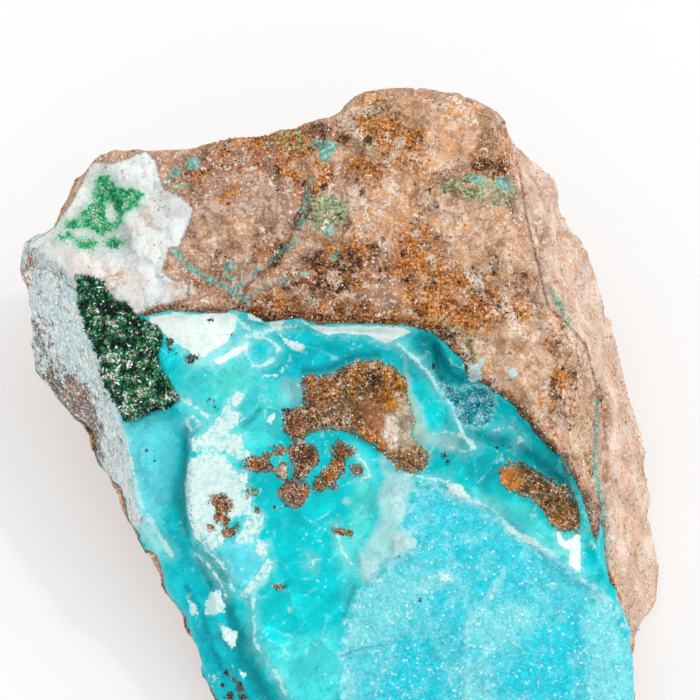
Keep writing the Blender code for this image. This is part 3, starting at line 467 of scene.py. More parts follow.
# Soft changes of tone: a palette colour, how wide its edge is, how much of it covers, and its outline.
CHRYSOCOLLA_TONES = (
    ("light cyan", 1.6, 0.75, ((18.0, 35.0), (25.0, 34.5), (28.5, 38.0), (30.0, 41.0), (27.0, 44.5),
                               (23.0, 46.0), (19.3, 46.0), (18.0, 40.0))),
    ("pale cyan", 1.0, 0.7, ((20.0, 34.5), (24.5, 33.4), (27.0, 33.0), (26.5, 33.6), (24.0, 35.5),
                             (21.0, 36.8), (18.6, 36.6))),
    ("cyan", 0.3, 0.8, LENS),
    ("mint", 0.9, 0.45, ((21.0, 37.0), (24.5, 36.6), (25.6, 38.4), (23.5, 39.6), (21.2, 39.2))),
    ("cyan", 1.0, 0.8, ((27.6, 32.6), (30.0, 33.2), (33.0, 33.9), (32.0, 34.4), (29.4, 34.0))),
    ("deep cyan", 1.0, 0.95, ((27.0, 37.2), (28.6, 35.2), (31.5, 34.2), (37.0, 34.2), (40.6, 35.0),
                              (38.4, 35.8), (35.6, 36.0), (32.0, 37.2), (28.0, 38.2))),
    ("light cyan", 0.6, 0.7, ((37.0, 33.6), (40.6, 34.2), (42.2, 35.8), (41.0, 35.7), (38.6, 34.8))),
    # Painted shade: dark teal at the right end of the trough, below the rock's edge.
    ("dark teal and shade", 0.9, 0.85, ((41.0, 33.2), (43.6, 33.6), (45.0, 35.0), (46.6, 37.2), (46.6, 38.6),
                              (44.0, 38.2), (42.6, 36.4))),
    ("bright cyan", 0.45, 1.0, ((41.1, 36.4), (42.0, 36.8), (43.0, 38.2), (43.8, 39.6), (45.4, 40.8),
                                (46.2, 42.6), (46.4, 43.9), (45.1, 43.8), (43.1, 43.3), (42.4, 41.5),
                                (42.0, 39.0))),
    ("grey veil", 0.5, 0.8, ((40.2, 36.0), (41.2, 37.6), (41.8, 40.2), (42.4, 42.8), (43.4, 44.0),
                             (42.6, 44.6), (41.2, 43.4), (40.9, 40.4), (40.4, 38.2))),
    ("grey veil", 0.6, 0.85, ((42.6, 43.4), (45.0, 43.4), (47.4, 44.2), (46.4, 45.2), (44.0, 45.0))),
    ("olive veil", 0.6, 0.5, ((39.8, 37.0), (40.9, 38.2), (41.5, 41.0), (42.6, 43.6), (43.4, 45.4), (42.0, 47.4),
                              (40.0, 44.0))),
    ("smoky", 1.6, 0.8, ((28.2, 38.0), (30.0, 37.8), (30.3, 39.4), (29.6, 40.6), (28.2, 40.2))),
    ("teal", 1.0, 0.9, ((46.4, 42.6), (49.0, 42.8), (52.0, 43.6), (55.0, 46.4), (56.6, 48.4), (53.6, 47.0),
                        (50.4, 46.0), (49.6, 48.2), (48.4, 49.6), (46.6, 47.4), (45.4, 45.4))),
    ("light cyan", 0.8, 0.8, ((46.2, 48.6), (49.4, 49.2), (53.0, 50.4), (55.6, 53.6), (57.4, 56.4),
                              (53.6, 54.2), (50.0, 51.6), (47.6, 50.0))),
    ("cyan", 1.5, 0.8, ((30.5, 48.5), (34.0, 44.8), (37.6, 46.0), (38.0, 49.5), (36.0, 53.0), (33.0, 51.0))),
    ("grey veil", 1.0, 0.85, ((38.2, 45.6), (39.6, 47.2), (41.4, 47.8), (40.9, 50.4), (39.9, 52.8),
                              (41.4, 54.4), (38.6, 56.4), (36.4, 58.4), (36.2, 56.0), (37.8, 52.0))),
    ("milk", 0.25, 0.8, SCAB),
    ("milk", 0.25, 0.6, ((34.3, 50.1), (34.9, 49.7), (35.1, 50.5), (34.5, 50.8))),
    ("milk", 0.8, 0.6, ((39.6, 47.0), (41.0, 47.8), (40.6, 49.8), (39.8, 52.4), (39.0, 50.6))),
    ("milk", 0.3, 0.7, ((35.8, 54.8), (36.8, 55.8), (38.0, 57.0), (37.0, 58.2), (36.3, 57.2))),
    ("mint", 1.6, 0.55, ((35.6, 46.5), (37.8, 49.0), (37.0, 53.5), (35.6, 57.0), (34.5, 54.0))),
    ("light cyan", 1.2, 0.7, ((33.4, 53.8), (36.2, 54.2), (36.2, 58.0), (34.6, 61.0), (34.0, 57.5))),
    ("pale cyan", 0.5, 0.8, ((24.6, 59.0), (27.1, 56.6), (27.0, 57.9), (25.4, 59.9))),
    ("sky", 0.9, 0.9, ((21.8, 54.6), (25.0, 53.6), (26.6, 55.6), (24.6, 58.6), (23.0, 58.0))),
    ("light cyan", 1.6, 0.8, ((26.4, 64.6), (30.0, 63.8), (34.0, 62.5), (34.0, 72.0), (30.0, 72.0),
                              (27.8, 67.6))),
    ("bright cyan", 1.2, 0.6, ((26.2, 59.6), (30.0, 59.0), (32.0, 61.5), (29.0, 64.0), (26.2, 63.6))),
)
BAND_TONES = (  # on the left band and the scarp
    ("sky", 2.0, 0.85, ((10.0, 42.0), (15.5, 41.0), (17.6, 42.2), (17.4, 50.0), (15.6, 53.0), (12.0, 52.0))),
    # Painted shadow: teal on the left band along the foot of the step.
    ("teal", 1.0, 0.8, ((18.2, 42.4), (19.8, 42.4), (19.6, 54.0), (18.2, 55.5), (17.4, 50.0))),
    ("deep cyan", 1.4, 0.9, ((15.6, 53.0), (19.2, 53.0), (22.0, 55.5), (23.0, 59.0), (25.0, 63.0),
                             (27.0, 68.0), (29.0, 76.0), (20.0, 80.0), (18.0, 62.0))),
    # Partly the scarp's own dark teal, partly painted shade on its wall.
    ("dark teal and shade", 0.9, 0.9, ((18.4, 51.8), (20.4, 54.0), (22.6, 56.8), (23.4, 60.0), (24.6, 62.6), (25.4, 65.6),
                             (27.6, 68.4), (29.4, 71.0), (26.4, 71.0), (24.0, 67.0), (22.4, 61.4), (20.4, 57.0))),
    ("pale cyan", 0.5, 0.8, ((11.0, 42.6), (12.4, 42.6), (13.2, 47.6), (14.0, 51.0), (16.6, 54.4),
                             (15.6, 55.4), (12.0, 52.0))),
)
DRUSE_TONES = (
    ("deep druse", 2.0, 0.7, ((41.0, 49.0), (46.0, 50.0), (51.0, 53.6), (57.0, 57.2), (50.0, 58.5),
                              (45.0, 56.5), (41.0, 53.0))),
    ("deep druse", 1.0, 0.95, ((47.4, 56.5), (49.3, 57.0), (48.6, 59.3), (47.6, 58.6))),
    ("deep druse", 1.2, 0.85, ((42.2, 59.4), (45.0, 59.6), (47.4, 60.4), (46.4, 63.6), (44.4, 61.6))),
    ("deep druse", 1.6, 1.0, ((39.6, 64.4), (42.6, 62.8), (43.4, 66.0), (44.6, 69.5), (42.0, 74.0),
                              (38.0, 71.0))),
    ("deep druse", 1.4, 1.0, ((52.0, 62.6), (55.6, 62.0), (58.2, 61.0), (58.6, 66.0), (57.6, 70.0),
                              (52.6, 70.0), (49.0, 67.6), (52.0, 66.0))),
    ("pale druse", 1.4, 0.85, ((47.0, 60.8), (51.0, 60.0), (55.0, 61.4), (52.0, 64.4), (48.6, 65.4),
                               (46.6, 63.4))),
    ("pale druse", 1.0, 0.9, ((46.6, 65.6), (48.8, 65.8), (49.6, 70.0), (47.0, 71.0))),
    ("pale druse", 1.6, 0.8, ((35.6, 59.4), (38.4, 57.2), (41.6, 56.6), (41.8, 60.6), (39.2, 64.2),
                              (35.4, 65.2), (35.4, 72.0), (33.8, 66.0))),
    ("pale druse", 0.6, 0.9, ((41.7, 59.3), (42.4, 58.0), (44.4, 57.3), (46.0, 58.0), (44.6, 59.0))),
    ("pale druse", 1.0, 0.95, ((58.6, 60.0), (60.6, 59.6), (62.4, 64.0), (63.6, 72.0), (62.0, 80.0),
                               (59.0, 74.0))),
    ("druse", 1.4, 0.6, ((55.0, 56.0), (58.8, 58.4), (60.0, 60.4), (56.0, 61.2), (52.6, 59.6))),
)
WEATHERED_TONES = (
    ("beige chalk", 1.6, 0.9, ((5.0, 24.6), (10.0, 25.4), (14.6, 27.6), (14.0, 31.4), (10.4, 29.4), (6.0, 27.0))),
    ("grey chalk", 0.9, 0.8, ((12.2, 22.4), (13.8, 22.0), (13.6, 26.2), (12.0, 26.0))),
    ("grey chalk", 0.8, 0.5, ((12.0, 17.2), (14.2, 17.2), (14.4, 18.8), (12.4, 18.6))),
    ("orange chalk", 0.8, 0.8, ((13.9, 20.6), (15.2, 20.4), (15.0, 22.8), (13.6, 23.4))),
    ("orange chalk", 0.6, 0.7, ((15.0, 24.6), (15.8, 24.8), (15.6, 26.0), (15.0, 25.8))),
    ("ochre", 0.6, 0.9, ((10.7, 26.9), (12.5, 27.2), (12.6, 28.2), (11.0, 28.0))),
    ("ochre", 1.0, 0.6, ((16.8, 28.0), (18.8, 28.2), (18.8, 30.0), (17.4, 30.4))),
    ("beige chalk", 0.8, 0.8, ((4.4, 23.0), (7.4, 19.0), (9.4, 16.4), (10.4, 17.0), (8.0, 20.0), (6.0, 23.6))),
)
INCLUSION_TONES = (
    ("fox", 1.0, 0.9, ((34.4, 35.8), (38.0, 36.2), (38.2, 39.4), (35.2, 38.0))),
    ("amber", 0.9, 1.0, ((37.8, 35.6), (40.2, 36.4), (41.4, 40.4), (40.2, 41.6), (38.6, 40.4), (38.0, 38.6))),
    ("dark umber", 0.8, 1.0, ((36.2, 37.2), (38.0, 37.0), (38.6, 38.2), (37.2, 38.8), (36.2, 38.2))),
    ("fox", 0.8, 0.8, ((31.0, 37.8), (34.0, 38.0), (34.4, 39.8), (31.4, 40.0))),
    ("sage", 1.2, 0.7, ((33.4, 39.4), (36.6, 38.8), (36.4, 41.0), (33.0, 42.0))),
    ("red umber", 0.8, 0.9, ((35.6, 40.0), (38.2, 40.0), (38.4, 42.8), (36.4, 42.8))),
    ("horn", 0.8, 0.9, ((39.4, 38.4), (41.6, 40.6), (42.4, 44.4), (40.4, 45.4), (39.4, 42.0))),
    ("shell", 0.5, 0.95, ((38.4, 41.2), (39.4, 41.2), (39.9, 43.2), (39.6, 45.2), (38.7, 45.0), (38.3, 43.2))),
    ("fox", 0.7, 0.8, ((36.0, 42.2), (37.6, 42.9), (38.6, 44.4), (38.0, 45.4), (35.6, 43.8))),
    ("dark umber", 0.7, 0.9, ((28.0, 40.6), (29.6, 40.8), (29.4, 43.0), (30.2, 44.2), (28.2, 44.2))),
    ("dark umber", 0.8, 0.8, ((28.6, 44.2), (32.0, 44.6), (32.0, 47.2), (30.0, 48.4), (28.8, 46.6))),
    ("fox", 0.8, 0.7, ((32.6, 46.2), (34.4, 46.0), (33.6, 48.4), (31.4, 49.2), (31.6, 47.8))),
    ("plum", 0.5, 1.0, ((27.6, 47.8), (31.0, 47.8), (31.2, 50.6), (28.4, 51.2), (27.4, 49.6))),
    ("shell", 0.5, 0.8, ((27.6, 46.2), (28.6, 46.2), (29.0, 47.2), (28.5, 48.0), (27.8, 47.6))),
    ("dark olive", 1.4, 0.9, ((51.0, 46.2), (53.6, 46.6), (57.0, 48.6), (57.4, 50.4), (55.0, 51.2), (52.0, 48.8))),
    ("fox", 1.0, 0.9, ((49.4, 46.8), (51.4, 46.6), (52.2, 48.4), (50.6, 49.4), (49.4, 48.4))),
    ("fox", 0.8, 0.8, ((54.6, 51.0), (56.4, 51.6), (57.2, 53.4), (55.2, 53.2))),
)
# Smooth, clear quartz without grains.
CLEAR = (
    ((35.8, 40.0), (38.2, 40.2), (39.8, 39.4), (41.6, 41.0), (42.4, 44.6), (40.4, 45.4), (38.4, 45.0),
     (37.6, 43.0), (36.2, 42.4)),
    ((50.0, 46.6), (52.0, 46.4), (52.8, 48.0), (51.6, 49.2), (50.0, 48.4)),
    ((35.0, 21.0), (38.6, 19.6), (42.0, 21.0), (40.0, 24.0), (36.0, 24.6)),
    ((41.0, 11.0), (45.4, 9.6), (48.6, 12.0), (47.4, 15.0), (43.0, 14.4)),
    ((45.6, 20.0), (50.4, 19.6), (51.6, 23.6), (48.0, 25.6), (45.4, 23.6)),
    ((47.8, 33.4), (52.4, 32.0), (55.4, 36.0), (54.6, 42.0), (51.6, 40.0), (48.8, 37.0)),
    ((20.6, 17.6), (26.6, 16.8), (28.0, 20.0), (24.6, 22.6), (20.4, 22.0)),
)
ROCK_TONES = (
    ("pink rock", 2.5, 0.9, ((17.6, 19.4), (21.0, 16.0), (27.0, 15.0), (31.0, 16.5), (29.3, 21.5),
                             (27.0, 25.5), (23.0, 28.5), (19.0, 27.0), (19.2, 21.0))),
    ("pale rock", 1.6, 0.55, ((19.5, 23.6), (22.0, 21.6), (26.0, 22.4), (25.0, 25.0), (21.6, 26.4))),
    ("brown rock", 1.6, 0.75, ((15.5, 15.6), (20.0, 15.0), (28.0, 13.0), (34.0, 11.5), (33.0, 14.0),
                               (29.0, 16.5), (22.0, 18.0), (19.5, 19.5))),
    ("brown rock", 1.4, 0.85, ((22.5, 29.4), (26.0, 27.4), (29.4, 25.0), (33.0, 23.5), (36.0, 26.0),
                               (40.0, 29.0), (42.0, 32.4), (30.0, 31.8), (24.0, 31.2))),
    ("dark rock", 1.2, 0.75, ((30.6, 26.4), (34.4, 25.8), (36.4, 28.4), (33.0, 29.6), (30.6, 28.4))),
    ("pale rock", 1.0, 0.5, ((31.2, 21.6), (30.8, 24.6), (28.6, 26.8), (26.2, 28.2), (29.0, 24.0))),
    ("green rock", 1.0, 0.8, ((31.4, 19.4), (34.2, 19.2), (35.0, 21.0), (34.3, 22.5), (31.2, 23.2),
                              (30.5, 21.8))),
    ("orange rock", 1.8, 0.8, ((34.0, 9.6), (40.0, 9.0), (48.0, 10.6), (50.0, 14.0), (44.0, 16.0),
                               (36.0, 15.0))),
    ("orange rock", 2.0, 0.75, ((36.0, 16.0), (42.0, 17.0), (44.0, 22.0), (40.0, 25.6), (36.0, 22.0))),
    ("orange rock", 2.0, 0.8, ((40.0, 27.0), (44.0, 25.0), (48.0, 29.0), (47.0, 34.0), (44.0, 33.4),
                               (41.0, 31.6))),
    ("pale rock", 2.2, 0.8, ((43.0, 17.0), (46.6, 20.6), (51.0, 21.0), (52.6, 25.0), (50.4, 29.6),
                             (46.6, 27.6), (43.6, 22.0))),
    ("pale rock", 2.0, 0.8, ((47.4, 33.0), (52.0, 30.6), (55.0, 33.0), (56.2, 38.0), (55.0, 42.6),
                             (51.0, 40.0), (48.4, 36.6))),
    ("blush", 1.3, 0.9, ((54.6, 31.0), (57.6, 34.0), (58.6, 40.0), (58.4, 45.6), (58.4, 50.0), (57.0, 47.4),
                         (56.2, 45.6), (56.4, 40.0), (55.4, 35.0))),
    ("olive rock", 1.2, 0.6, ((44.0, 31.6), (47.0, 33.0), (48.6, 35.6), (46.8, 36.2), (45.0, 34.0))),
    ("brown rock", 0.8, 0.8, ((51.0, 39.6), (53.4, 42.2), (55.8, 44.8), (55.6, 45.6), (52.6, 42.8),
                              (50.4, 40.2))),
    ("dark rock", 0.9, 0.7, ((47.3, 15.8), (50.0, 15.6), (51.4, 16.6), (50.4, 17.4), (47.6, 17.2))),
    ("orange rock", 0.8, 0.8, ((54.8, 37.8), (56.0, 37.2), (56.8, 38.4), (56.0, 39.6), (55.0, 39.0))),
    ("olive rock", 0.8, 0.5, ((57.0, 41.6), (58.6, 42.0), (58.4, 45.6), (57.2, 44.8))),
)

# Where the rock is rustier, darker or greener than elsewhere: how wide the edge is, how much, and its outline.
RUST = (
    (1.4, 1.0, ((35.8, 36.6), (40.4, 37.6), (41.8, 43.0), (39.6, 43.8), (38.4, 40.6), (36.0, 39.6))),
    (1.0, 0.7, ((30.2, 37.6), (33.6, 37.6), (33.0, 40.4), (30.4, 40.6))),
    (1.0, 0.9, ((1.6, 25.6), (3.6, 26.0), (3.4, 29.4), (1.8, 29.0))),
    (1.0, 0.8, ((1.8, 31.2), (3.2, 31.6), (3.0, 33.0), (1.8, 32.8))),
    (1.4, 0.45, ((5.6, 38.0), (8.4, 38.2), (9.2, 41.6), (7.0, 42.0))),
    (2.0, 0.9, ((39.0, 21.0), (43.0, 22.5), (46.0, 27.0), (50.0, 29.6), (52.0, 31.6), (48.0, 33.6),
                (44.0, 33.0), (40.6, 30.6), (39.6, 26.0))),
    (1.2, 0.9, ((24.0, 30.0), (28.0, 29.6), (36.0, 30.2), (43.0, 31.6), (43.0, 33.0), (30.0, 32.2),
                (24.0, 31.6))),
    (1.8, 0.7, ((29.0, 27.6), (33.0, 24.6), (37.0, 22.6), (38.6, 26.4), (36.0, 29.4), (30.0, 30.0))),
    (1.6, 0.75, ((34.0, 12.0), (38.0, 10.0), (42.6, 13.0), (43.0, 17.0), (38.0, 18.6), (34.0, 16.6))),
    (1.0, 0.9, ((47.0, 15.4), (50.4, 15.2), (52.0, 16.6), (51.4, 18.4), (47.0, 17.6))),
    (1.4, 0.6, ((27.0, 15.0), (32.0, 13.4), (34.0, 17.0), (31.6, 20.6), (28.6, 19.6))),
    (1.6, 0.45, ((19.0, 17.0), (26.0, 15.6), (27.6, 19.0), (21.0, 21.0))),
    (1.0, 0.9, ((22.0, 13.4), (29.0, 12.2), (31.0, 14.0), (28.0, 15.0), (22.0, 15.8))),
    (0.8, 0.9, ((54.6, 38.0), (56.0, 36.8), (57.0, 38.6), (56.2, 40.0), (55.0, 39.4))),
    (1.6, 0.8, ((50.6, 46.6), (54.0, 47.4), (56.6, 49.6), (57.8, 53.0), (54.6, 51.0), (51.0, 49.0))),
    (1.4, 0.8, ((56.6, 22.6), (59.4, 22.8), (59.8, 26.6), (57.4, 26.4))),
    (1.6, 0.7, ((62.0, 36.0), (64.6, 38.0), (64.4, 43.0), (62.6, 41.6))),
)
GLOOM = (
    (1.6, 0.55, ((1.4, 31.6), (4.4, 32.0), (6.4, 36.0), (5.4, 38.2), (2.4, 37.0))),
    (1.6, 1.0, ((4.4, 37.2), (7.6, 37.6), (10.4, 42.6), (10.0, 46.0), (7.0, 43.6))),
    (1.0, 0.8, ((28.2, 44.0), (31.6, 44.4), (32.0, 46.6), (30.8, 48.4), (31.0, 50.8), (28.0, 50.6))),
    (1.4, 0.8, ((30.0, 25.6), (34.6, 25.2), (37.0, 27.6), (33.4, 29.4), (30.0, 28.4))),
    (0.8, 0.9, ((47.2, 15.7), (50.0, 15.5), (51.4, 16.4), (50.6, 17.2), (47.6, 17.1))),
    (1.0, 0.8, ((31.0, 12.6), (33.0, 12.0), (34.4, 14.0), (33.0, 15.0), (31.0, 14.2))),
    (1.0, 0.7, ((30.0, 19.6), (30.9, 17.0), (31.4, 20.0), (30.2, 23.0), (28.6, 25.4), (26.6, 27.2),
                (27.6, 25.0), (29.2, 22.0))),
    (0.7, 0.85, ((24.0, 30.6), (30.0, 31.2), (38.0, 31.8), (43.4, 32.8), (43.2, 33.4), (34.0, 32.4),
                 (26.0, 32.2), (22.6, 31.4))),
    (1.0, 0.8, ((42.6, 32.4), (44.6, 32.6), (46.6, 35.6), (48.8, 38.4), (51.6, 40.4), (54.0, 43.2),
                (55.8, 45.4), (53.0, 43.0), (48.0, 38.8), (45.6, 36.0))),
    (1.0, 0.6, ((36.0, 24.0), (38.6, 24.0), (38.0, 26.4), (36.4, 26.0))),
)
GREEN = (
    (1.0, 0.95, ((31.2, 19.5), (34.2, 19.2), (35.0, 21.0), (34.3, 22.5), (31.6, 23.2), (30.6, 21.8))),
    (1.0, 0.9, ((43.0, 17.6), (46.6, 17.2), (51.2, 17.4), (51.8, 19.8), (50.0, 20.6), (44.0, 19.4))),
    (1.2, 0.7, ((36.4, 10.6), (38.6, 10.0), (38.4, 14.6), (36.8, 17.2), (35.8, 14.6))),
    (1.0, 0.7, ((25.0, 13.0), (30.0, 12.0), (31.4, 14.6), (30.0, 15.6), (26.0, 14.6))),
    (1.0, 0.8, ((29.8, 30.0), (31.0, 29.2), (32.2, 30.0), (31.6, 31.0), (30.2, 30.8))),
    (1.2, 0.5, ((21.6, 26.0), (24.4, 26.4), (24.0, 28.4), (22.0, 28.0))),
    (1.0, 0.55, ((44.0, 31.6), (46.4, 32.6), (47.6, 35.0), (46.2, 35.6), (44.6, 33.6))),
)


def linear(colour):
    """An sRGB colour from 0 to 255 as the linear values that shaders take."""
    share = np.array(colour, float) / 255
    return np.where(share <= 0.04045, share / 12.92, ((share + 0.055) / 1.055) ** 2.4)


# ---------------------------------------------------------------- points, distances and noise


def points_of(mesh):
    """The mesh's points in millimetres, one row each."""
    points = np.empty(len(mesh.vertices) * 3, np.float32)
    mesh.vertices.foreach_get("co", points)
    return points.reshape(-1, 3).astype(float) / MM


def set_points(mesh, points):
    mesh.vertices.foreach_set("co", (points * MM).astype(np.float32).ravel())
    mesh.update()


def normals_of(mesh):
    normals = np.empty(len(mesh.vertices) * 3, np.float32)
    mesh.vertices.foreach_get("normal", normals)
    return normals.reshape(-1, 3).astype(float)


def smooth_step(value):
    """0 below 0, 1 above 1, and a smooth rise between."""
    t = np.clip(value, 0.0, 1.0)
    return t * t * (3 - 2 * t)


def stretch_distance(x, y, start, end):
    """Distance of each place from the stretch between two places."""
    along = np.array(end) - start
    t = ((x - start[0]) * along[0] + (y - start[1]) * along[1]) / (along @ along)
    t = np.clip(t, 0.0, 1.0)
    return np.hypot(x - start[0] - t * along[0], y - start[1] - t * along[1])


def line_distance(x, y, line):
    """Distance of each place from a line through several places."""
    return np.min([stretch_distance(x, y, a, b) for a, b in zip(line, line[1:])], axis=0)


def near(x, y, outline, reach):
    """Which places are within reach of an outline's box."""
    xs, ys = np.array(outline).T
    inside = (x > xs.min() - reach) & (x < xs.max() + reach)
    return np.flatnonzero(inside & (y > ys.min() - reach) & (y < ys.max() + reach))


def depth_inside(x, y, outline, reach=-OUT_OF_REACH):
    """How far each place is inside an outline. It is negative outside, and no lower than minus the reach."""
    depth = np.full(len(x), -reach)
    chosen = near(x, y, outline, reach)
    if not len(chosen):
        return depth
    px, py = x[chosen], y[chosen]
    distance = line_distance(px, py, outline + outline[:1])
    inside = np.zeros(len(px), bool)
    for (ax, ay), (bx, by) in zip(outline, outline[1:] + outline[:1]):
        crosses = (ay > py) != (by > py)
        inside ^= crosses & (px < ax + (py - ay) * (bx - ax) / ((by - ay) or 1e-9))
    depth[chosen] = np.maximum(np.where(inside, distance, -distance), -reach)
    return depth


def deepest(x, y, outlines):
    """How far each place is inside any of several outlines."""
    return np.max([depth_inside(x, y, outline) for outline in outlines], axis=0)


def course_depth(x, y, lines):
    """How far each place is inside any of several lines, each with half its width."""
    depth = np.full(len(x), OUT_OF_REACH)
    for half, line in lines:
        chosen = near(x, y, line, -OUT_OF_REACH)
        depth[chosen] = np.maximum(depth[chosen], half - line_distance(x[chosen], y[chosen], line))
    return depth


def wobble(points, size, amount):
    """A smooth random shift for each point, whose swings are about this many millimetres apart."""
    return amount * np.array([noise.noise_vector(Vector(p) / size) for p in points])


def rises(points, size, octaves=2):
    """Smooth random rises and dips from about -1 to 1, this many millimetres apart."""
    return np.array([noise.fractal(Vector(p) / size, 1.0, 2.0, octaves) for p in points])


def chips(points, size, edge=0.12):
    """Flat chips at random tilts, this many millimetres across: how far each point stands out."""
    out = np.empty(len(points))
    for i, point in enumerate(points):
        place = Vector(point) / size
        distances, middles = noise.voronoi(place)
        heights = []
        for middle in middles[:2]:
            tilt = noise.noise_vector(middle * 5.3 + Vector((2.7, 0.4, 1.9)))
            heights.append(1.6 * (place - middle).dot(tilt) + 0.8 * noise.noise(middle * 3.7))
        share = min(1.0, (distances[1] - distances[0]) / edge)
        out[i] = heights[0] * (0.5 + share / 2) + heights[1] * (0.5 - share / 2)
    return out


def facets(points, size):
    """For the same chips: how far in each a point is, in millimetres, and a random number for each."""
    edges, kinds = np.empty(len(points)), np.empty(len(points))
    for i, point in enumerate(points):
        distances, middles = noise.voronoi(Vector(point) / size)
        edges[i] = (distances[1] - distances[0]) * size
        kinds[i] = 0.5 + 0.5 * noise.noise(middles[0] * 7.1)
    return edges, kinds


def seen(points):
    """Where the eye straight in front of the face sees each point: millimetres right and down."""
    spread = 1 - points[:, 2] / EYE_DISTANCE
    return FACE_SQUARE / 2 + points[:, 0] / spread, FACE_SQUARE / 2 - points[:, 1] / spread


# ---------------------------------------------------------------- the stone's shape


def solid_relief(x, y):
    """Height of the solid's display face above its middle plane, at each place."""
    falls = []
    for (fx, fy), height, direction, fall in FACETS:
        turn = math.radians(direction)
        along = (x - fx) * math.cos(turn) - (y - fy) * math.sin(turn)
        falls.append(height - fall * along)
    height = np.min(falls, axis=0)
    for _, rise, edge, outline in LEVELS:
        height += rise * np.clip(0.5 + depth_inside(x, y, outline) / edge, 0.0, 1.0)
    for _, rise, width, line in LINES:
        height += rise * np.exp(-((line_distance(x, y, line) / width) ** 2))
    for (sx, sy), rise, across, down in SWELLS:
        height += rise * np.exp(-(((x - sx) / across) ** 2) - ((y - sy) / down) ** 2)
    return height


def fine_relief(x, y):
    """What stands on or is cut into the display face beyond the solid's relief."""
    height = np.zeros(len(x))
    for _, rise, edge, outline in FINE_LEVELS:
        height += rise * smooth_step(0.5 + depth_inside(x, y, outline) / edge)
    for _, rise, width, line in FINE_LINES:
        chosen = near(x, y, line, 3 * width)
        height[chosen] += rise * np.exp(-((line_distance(x[chosen], y[chosen], line) / width) ** 2))
    for (sx, sy), rise, across, down in FINE_SWELLS:
        height += rise * np.exp(-(((x - sx) / across) ** 2) - ((y - sy) / down) ** 2)
    return height


def apply_modifiers(obj):
    """Replaces the object's mesh by what its modifiers make of it."""
    graph = bpy.context.evaluated_depsgraph_get()
    made = bpy.data.meshes.new_from_object(obj.evaluated_get(graph))
    obj.modifiers.clear()
    obj.data = made


def even_out(obj, voxel):
    """Gives the object an even mesh of squares this many millimetres wide."""
    remesh = obj.modifiers.new("even_out", "REMESH")
    remesh.mode = "VOXEL"
    remesh.voxel_size = voxel * MM
    apply_modifiers(obj)


def soften(obj, rounds):
    """Wears away the solid's facet edges."""
    smooth = obj.modifiers.new("soften", "SMOOTH")
    smooth.factor = 0.5
    smooth.iterations = rounds
    apply_modifiers(obj)


def to_solid():
    """From the display face's axes to the solid's frame."""
    lean = Matrix.Rotation(math.radians(FACE_TILT), 4, "X")
    return Matrix.Translation(Vector(FACE_MIDDLE) * MM) @ lean


def blank_stone():
    """A fine, even copy of the solid, laid in the display face's axes."""
    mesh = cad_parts[NODE].data.copy()
    mesh.name = "stone"
    mesh.materials.clear()
    mesh.transform(to_solid().inverted())
    stone = bpy.data.objects.new("stone", mesh)
    bpy.context.scene.collection.objects.link(stone)
    weld = stone.modifiers.new("weld", "WELD")
    weld.merge_threshold = 1e-6
    apply_modifiers(stone)
    even_out(stone, VOXEL)
    soften(stone, 10)
    return stone


def face_share(points, x, y, height):
    """1 for a point on the display face, falling to 0 at its rim and down the flanks."""
    inside = smooth_step((depth_inside(x, y, RIM) + 0.2) / 1.6)
    upper = smooth_step((points[:, 2] - height + 4.5) / 2.0)
    return inside * upper


def cut_face(stone):
    """Brings the display face to its relief, in the same shifted places as the solid's."""
    points = points_of(stone.data)
    shifted = points + wobble(points, 2.6, 0.35) + wobble(points, 0.9, 0.12)
    x, y = seen(shifted)
    x0, y0 = seen(points)
    height = solid_relief(x, y)
    share = face_share(points, x0, y0, height)
    fine = fine_relief(*seen(points + wobble(points, 0.7, 0.16)))
    points[:, 2] += share * (height + fine - points[:, 2])
    set_points(stone.data, points)


def chip_stone(stone):
    """Gives each mineral its own small relief, and the flanks their chips."""
    points, normals = points_of(stone.data), normals_of(stone.data)
    x, y = seen(points)
    on_face = face_share(points, x, y, solid_relief(x, y))
    minerals = mineral_depths(points, x, y)
    rough = smooth_step(0.5 + np.maximum(minerals["rock"], minerals["inclusion"]) / 0.5)
    bed = smooth_step(0.5 + minerals["needles"] / 0.5)
    druse = smooth_step(0.5 + np.maximum(minerals["druse"], minerals["blue"]) / 0.5)
    flank = 1 - on_face
    rough *= 0.35 + 0.65 * on_face
    push = chips(points, FACET_SIZE) * (0.14 + 0.42 * rough + 0.08 * flank)
    push += chips(points, 1.3) * (0.03 + 0.36 * np.maximum(rough, bed) + 0.03 * flank)
    push += chips(points, 0.6, 0.3) * (0.15 * np.maximum(rough, bed) + 0.05 * druse)
    push += rises(points, 2.4) * 0.10 * (1 - rough)
    push += rises(points, 0.45, 1) * 0.05 * np.maximum(druse, rough)
    set_points(stone.data, points + normals * push[:, None])


def swell_flank(stone):
    """Fills out the crust of the left flank, which bulges past the solid's flat facet."""
    points = points_of(stone.data)
    x, y = seen(points)
    flank = 1 - face_share(points, x, y, solid_relief(x, y))
    (mx, my), rise, across, down = FLANK_SWELL
    swell = np.exp(-(((x - mx) / across) ** 2) - ((y - my) / down) ** 2) * flank * (x < 12)
    points[:, 0] -= rise * swell
    points[:, 1] -= 0.5 * rise * swell
    set_points(stone.data, points)


def flatten_rest(stone):
    """Keeps the stone on the surface that it rests on, and its flat break flat."""
    mesh = stone.data
    points = points_of(mesh)
    break_height = np.maximum(points[:, 2], 0.0)
    low = points[:, 2] < 0.35
    points[:, 2] = np.where(low, 0.0, break_height)
    set_points(mesh, points)


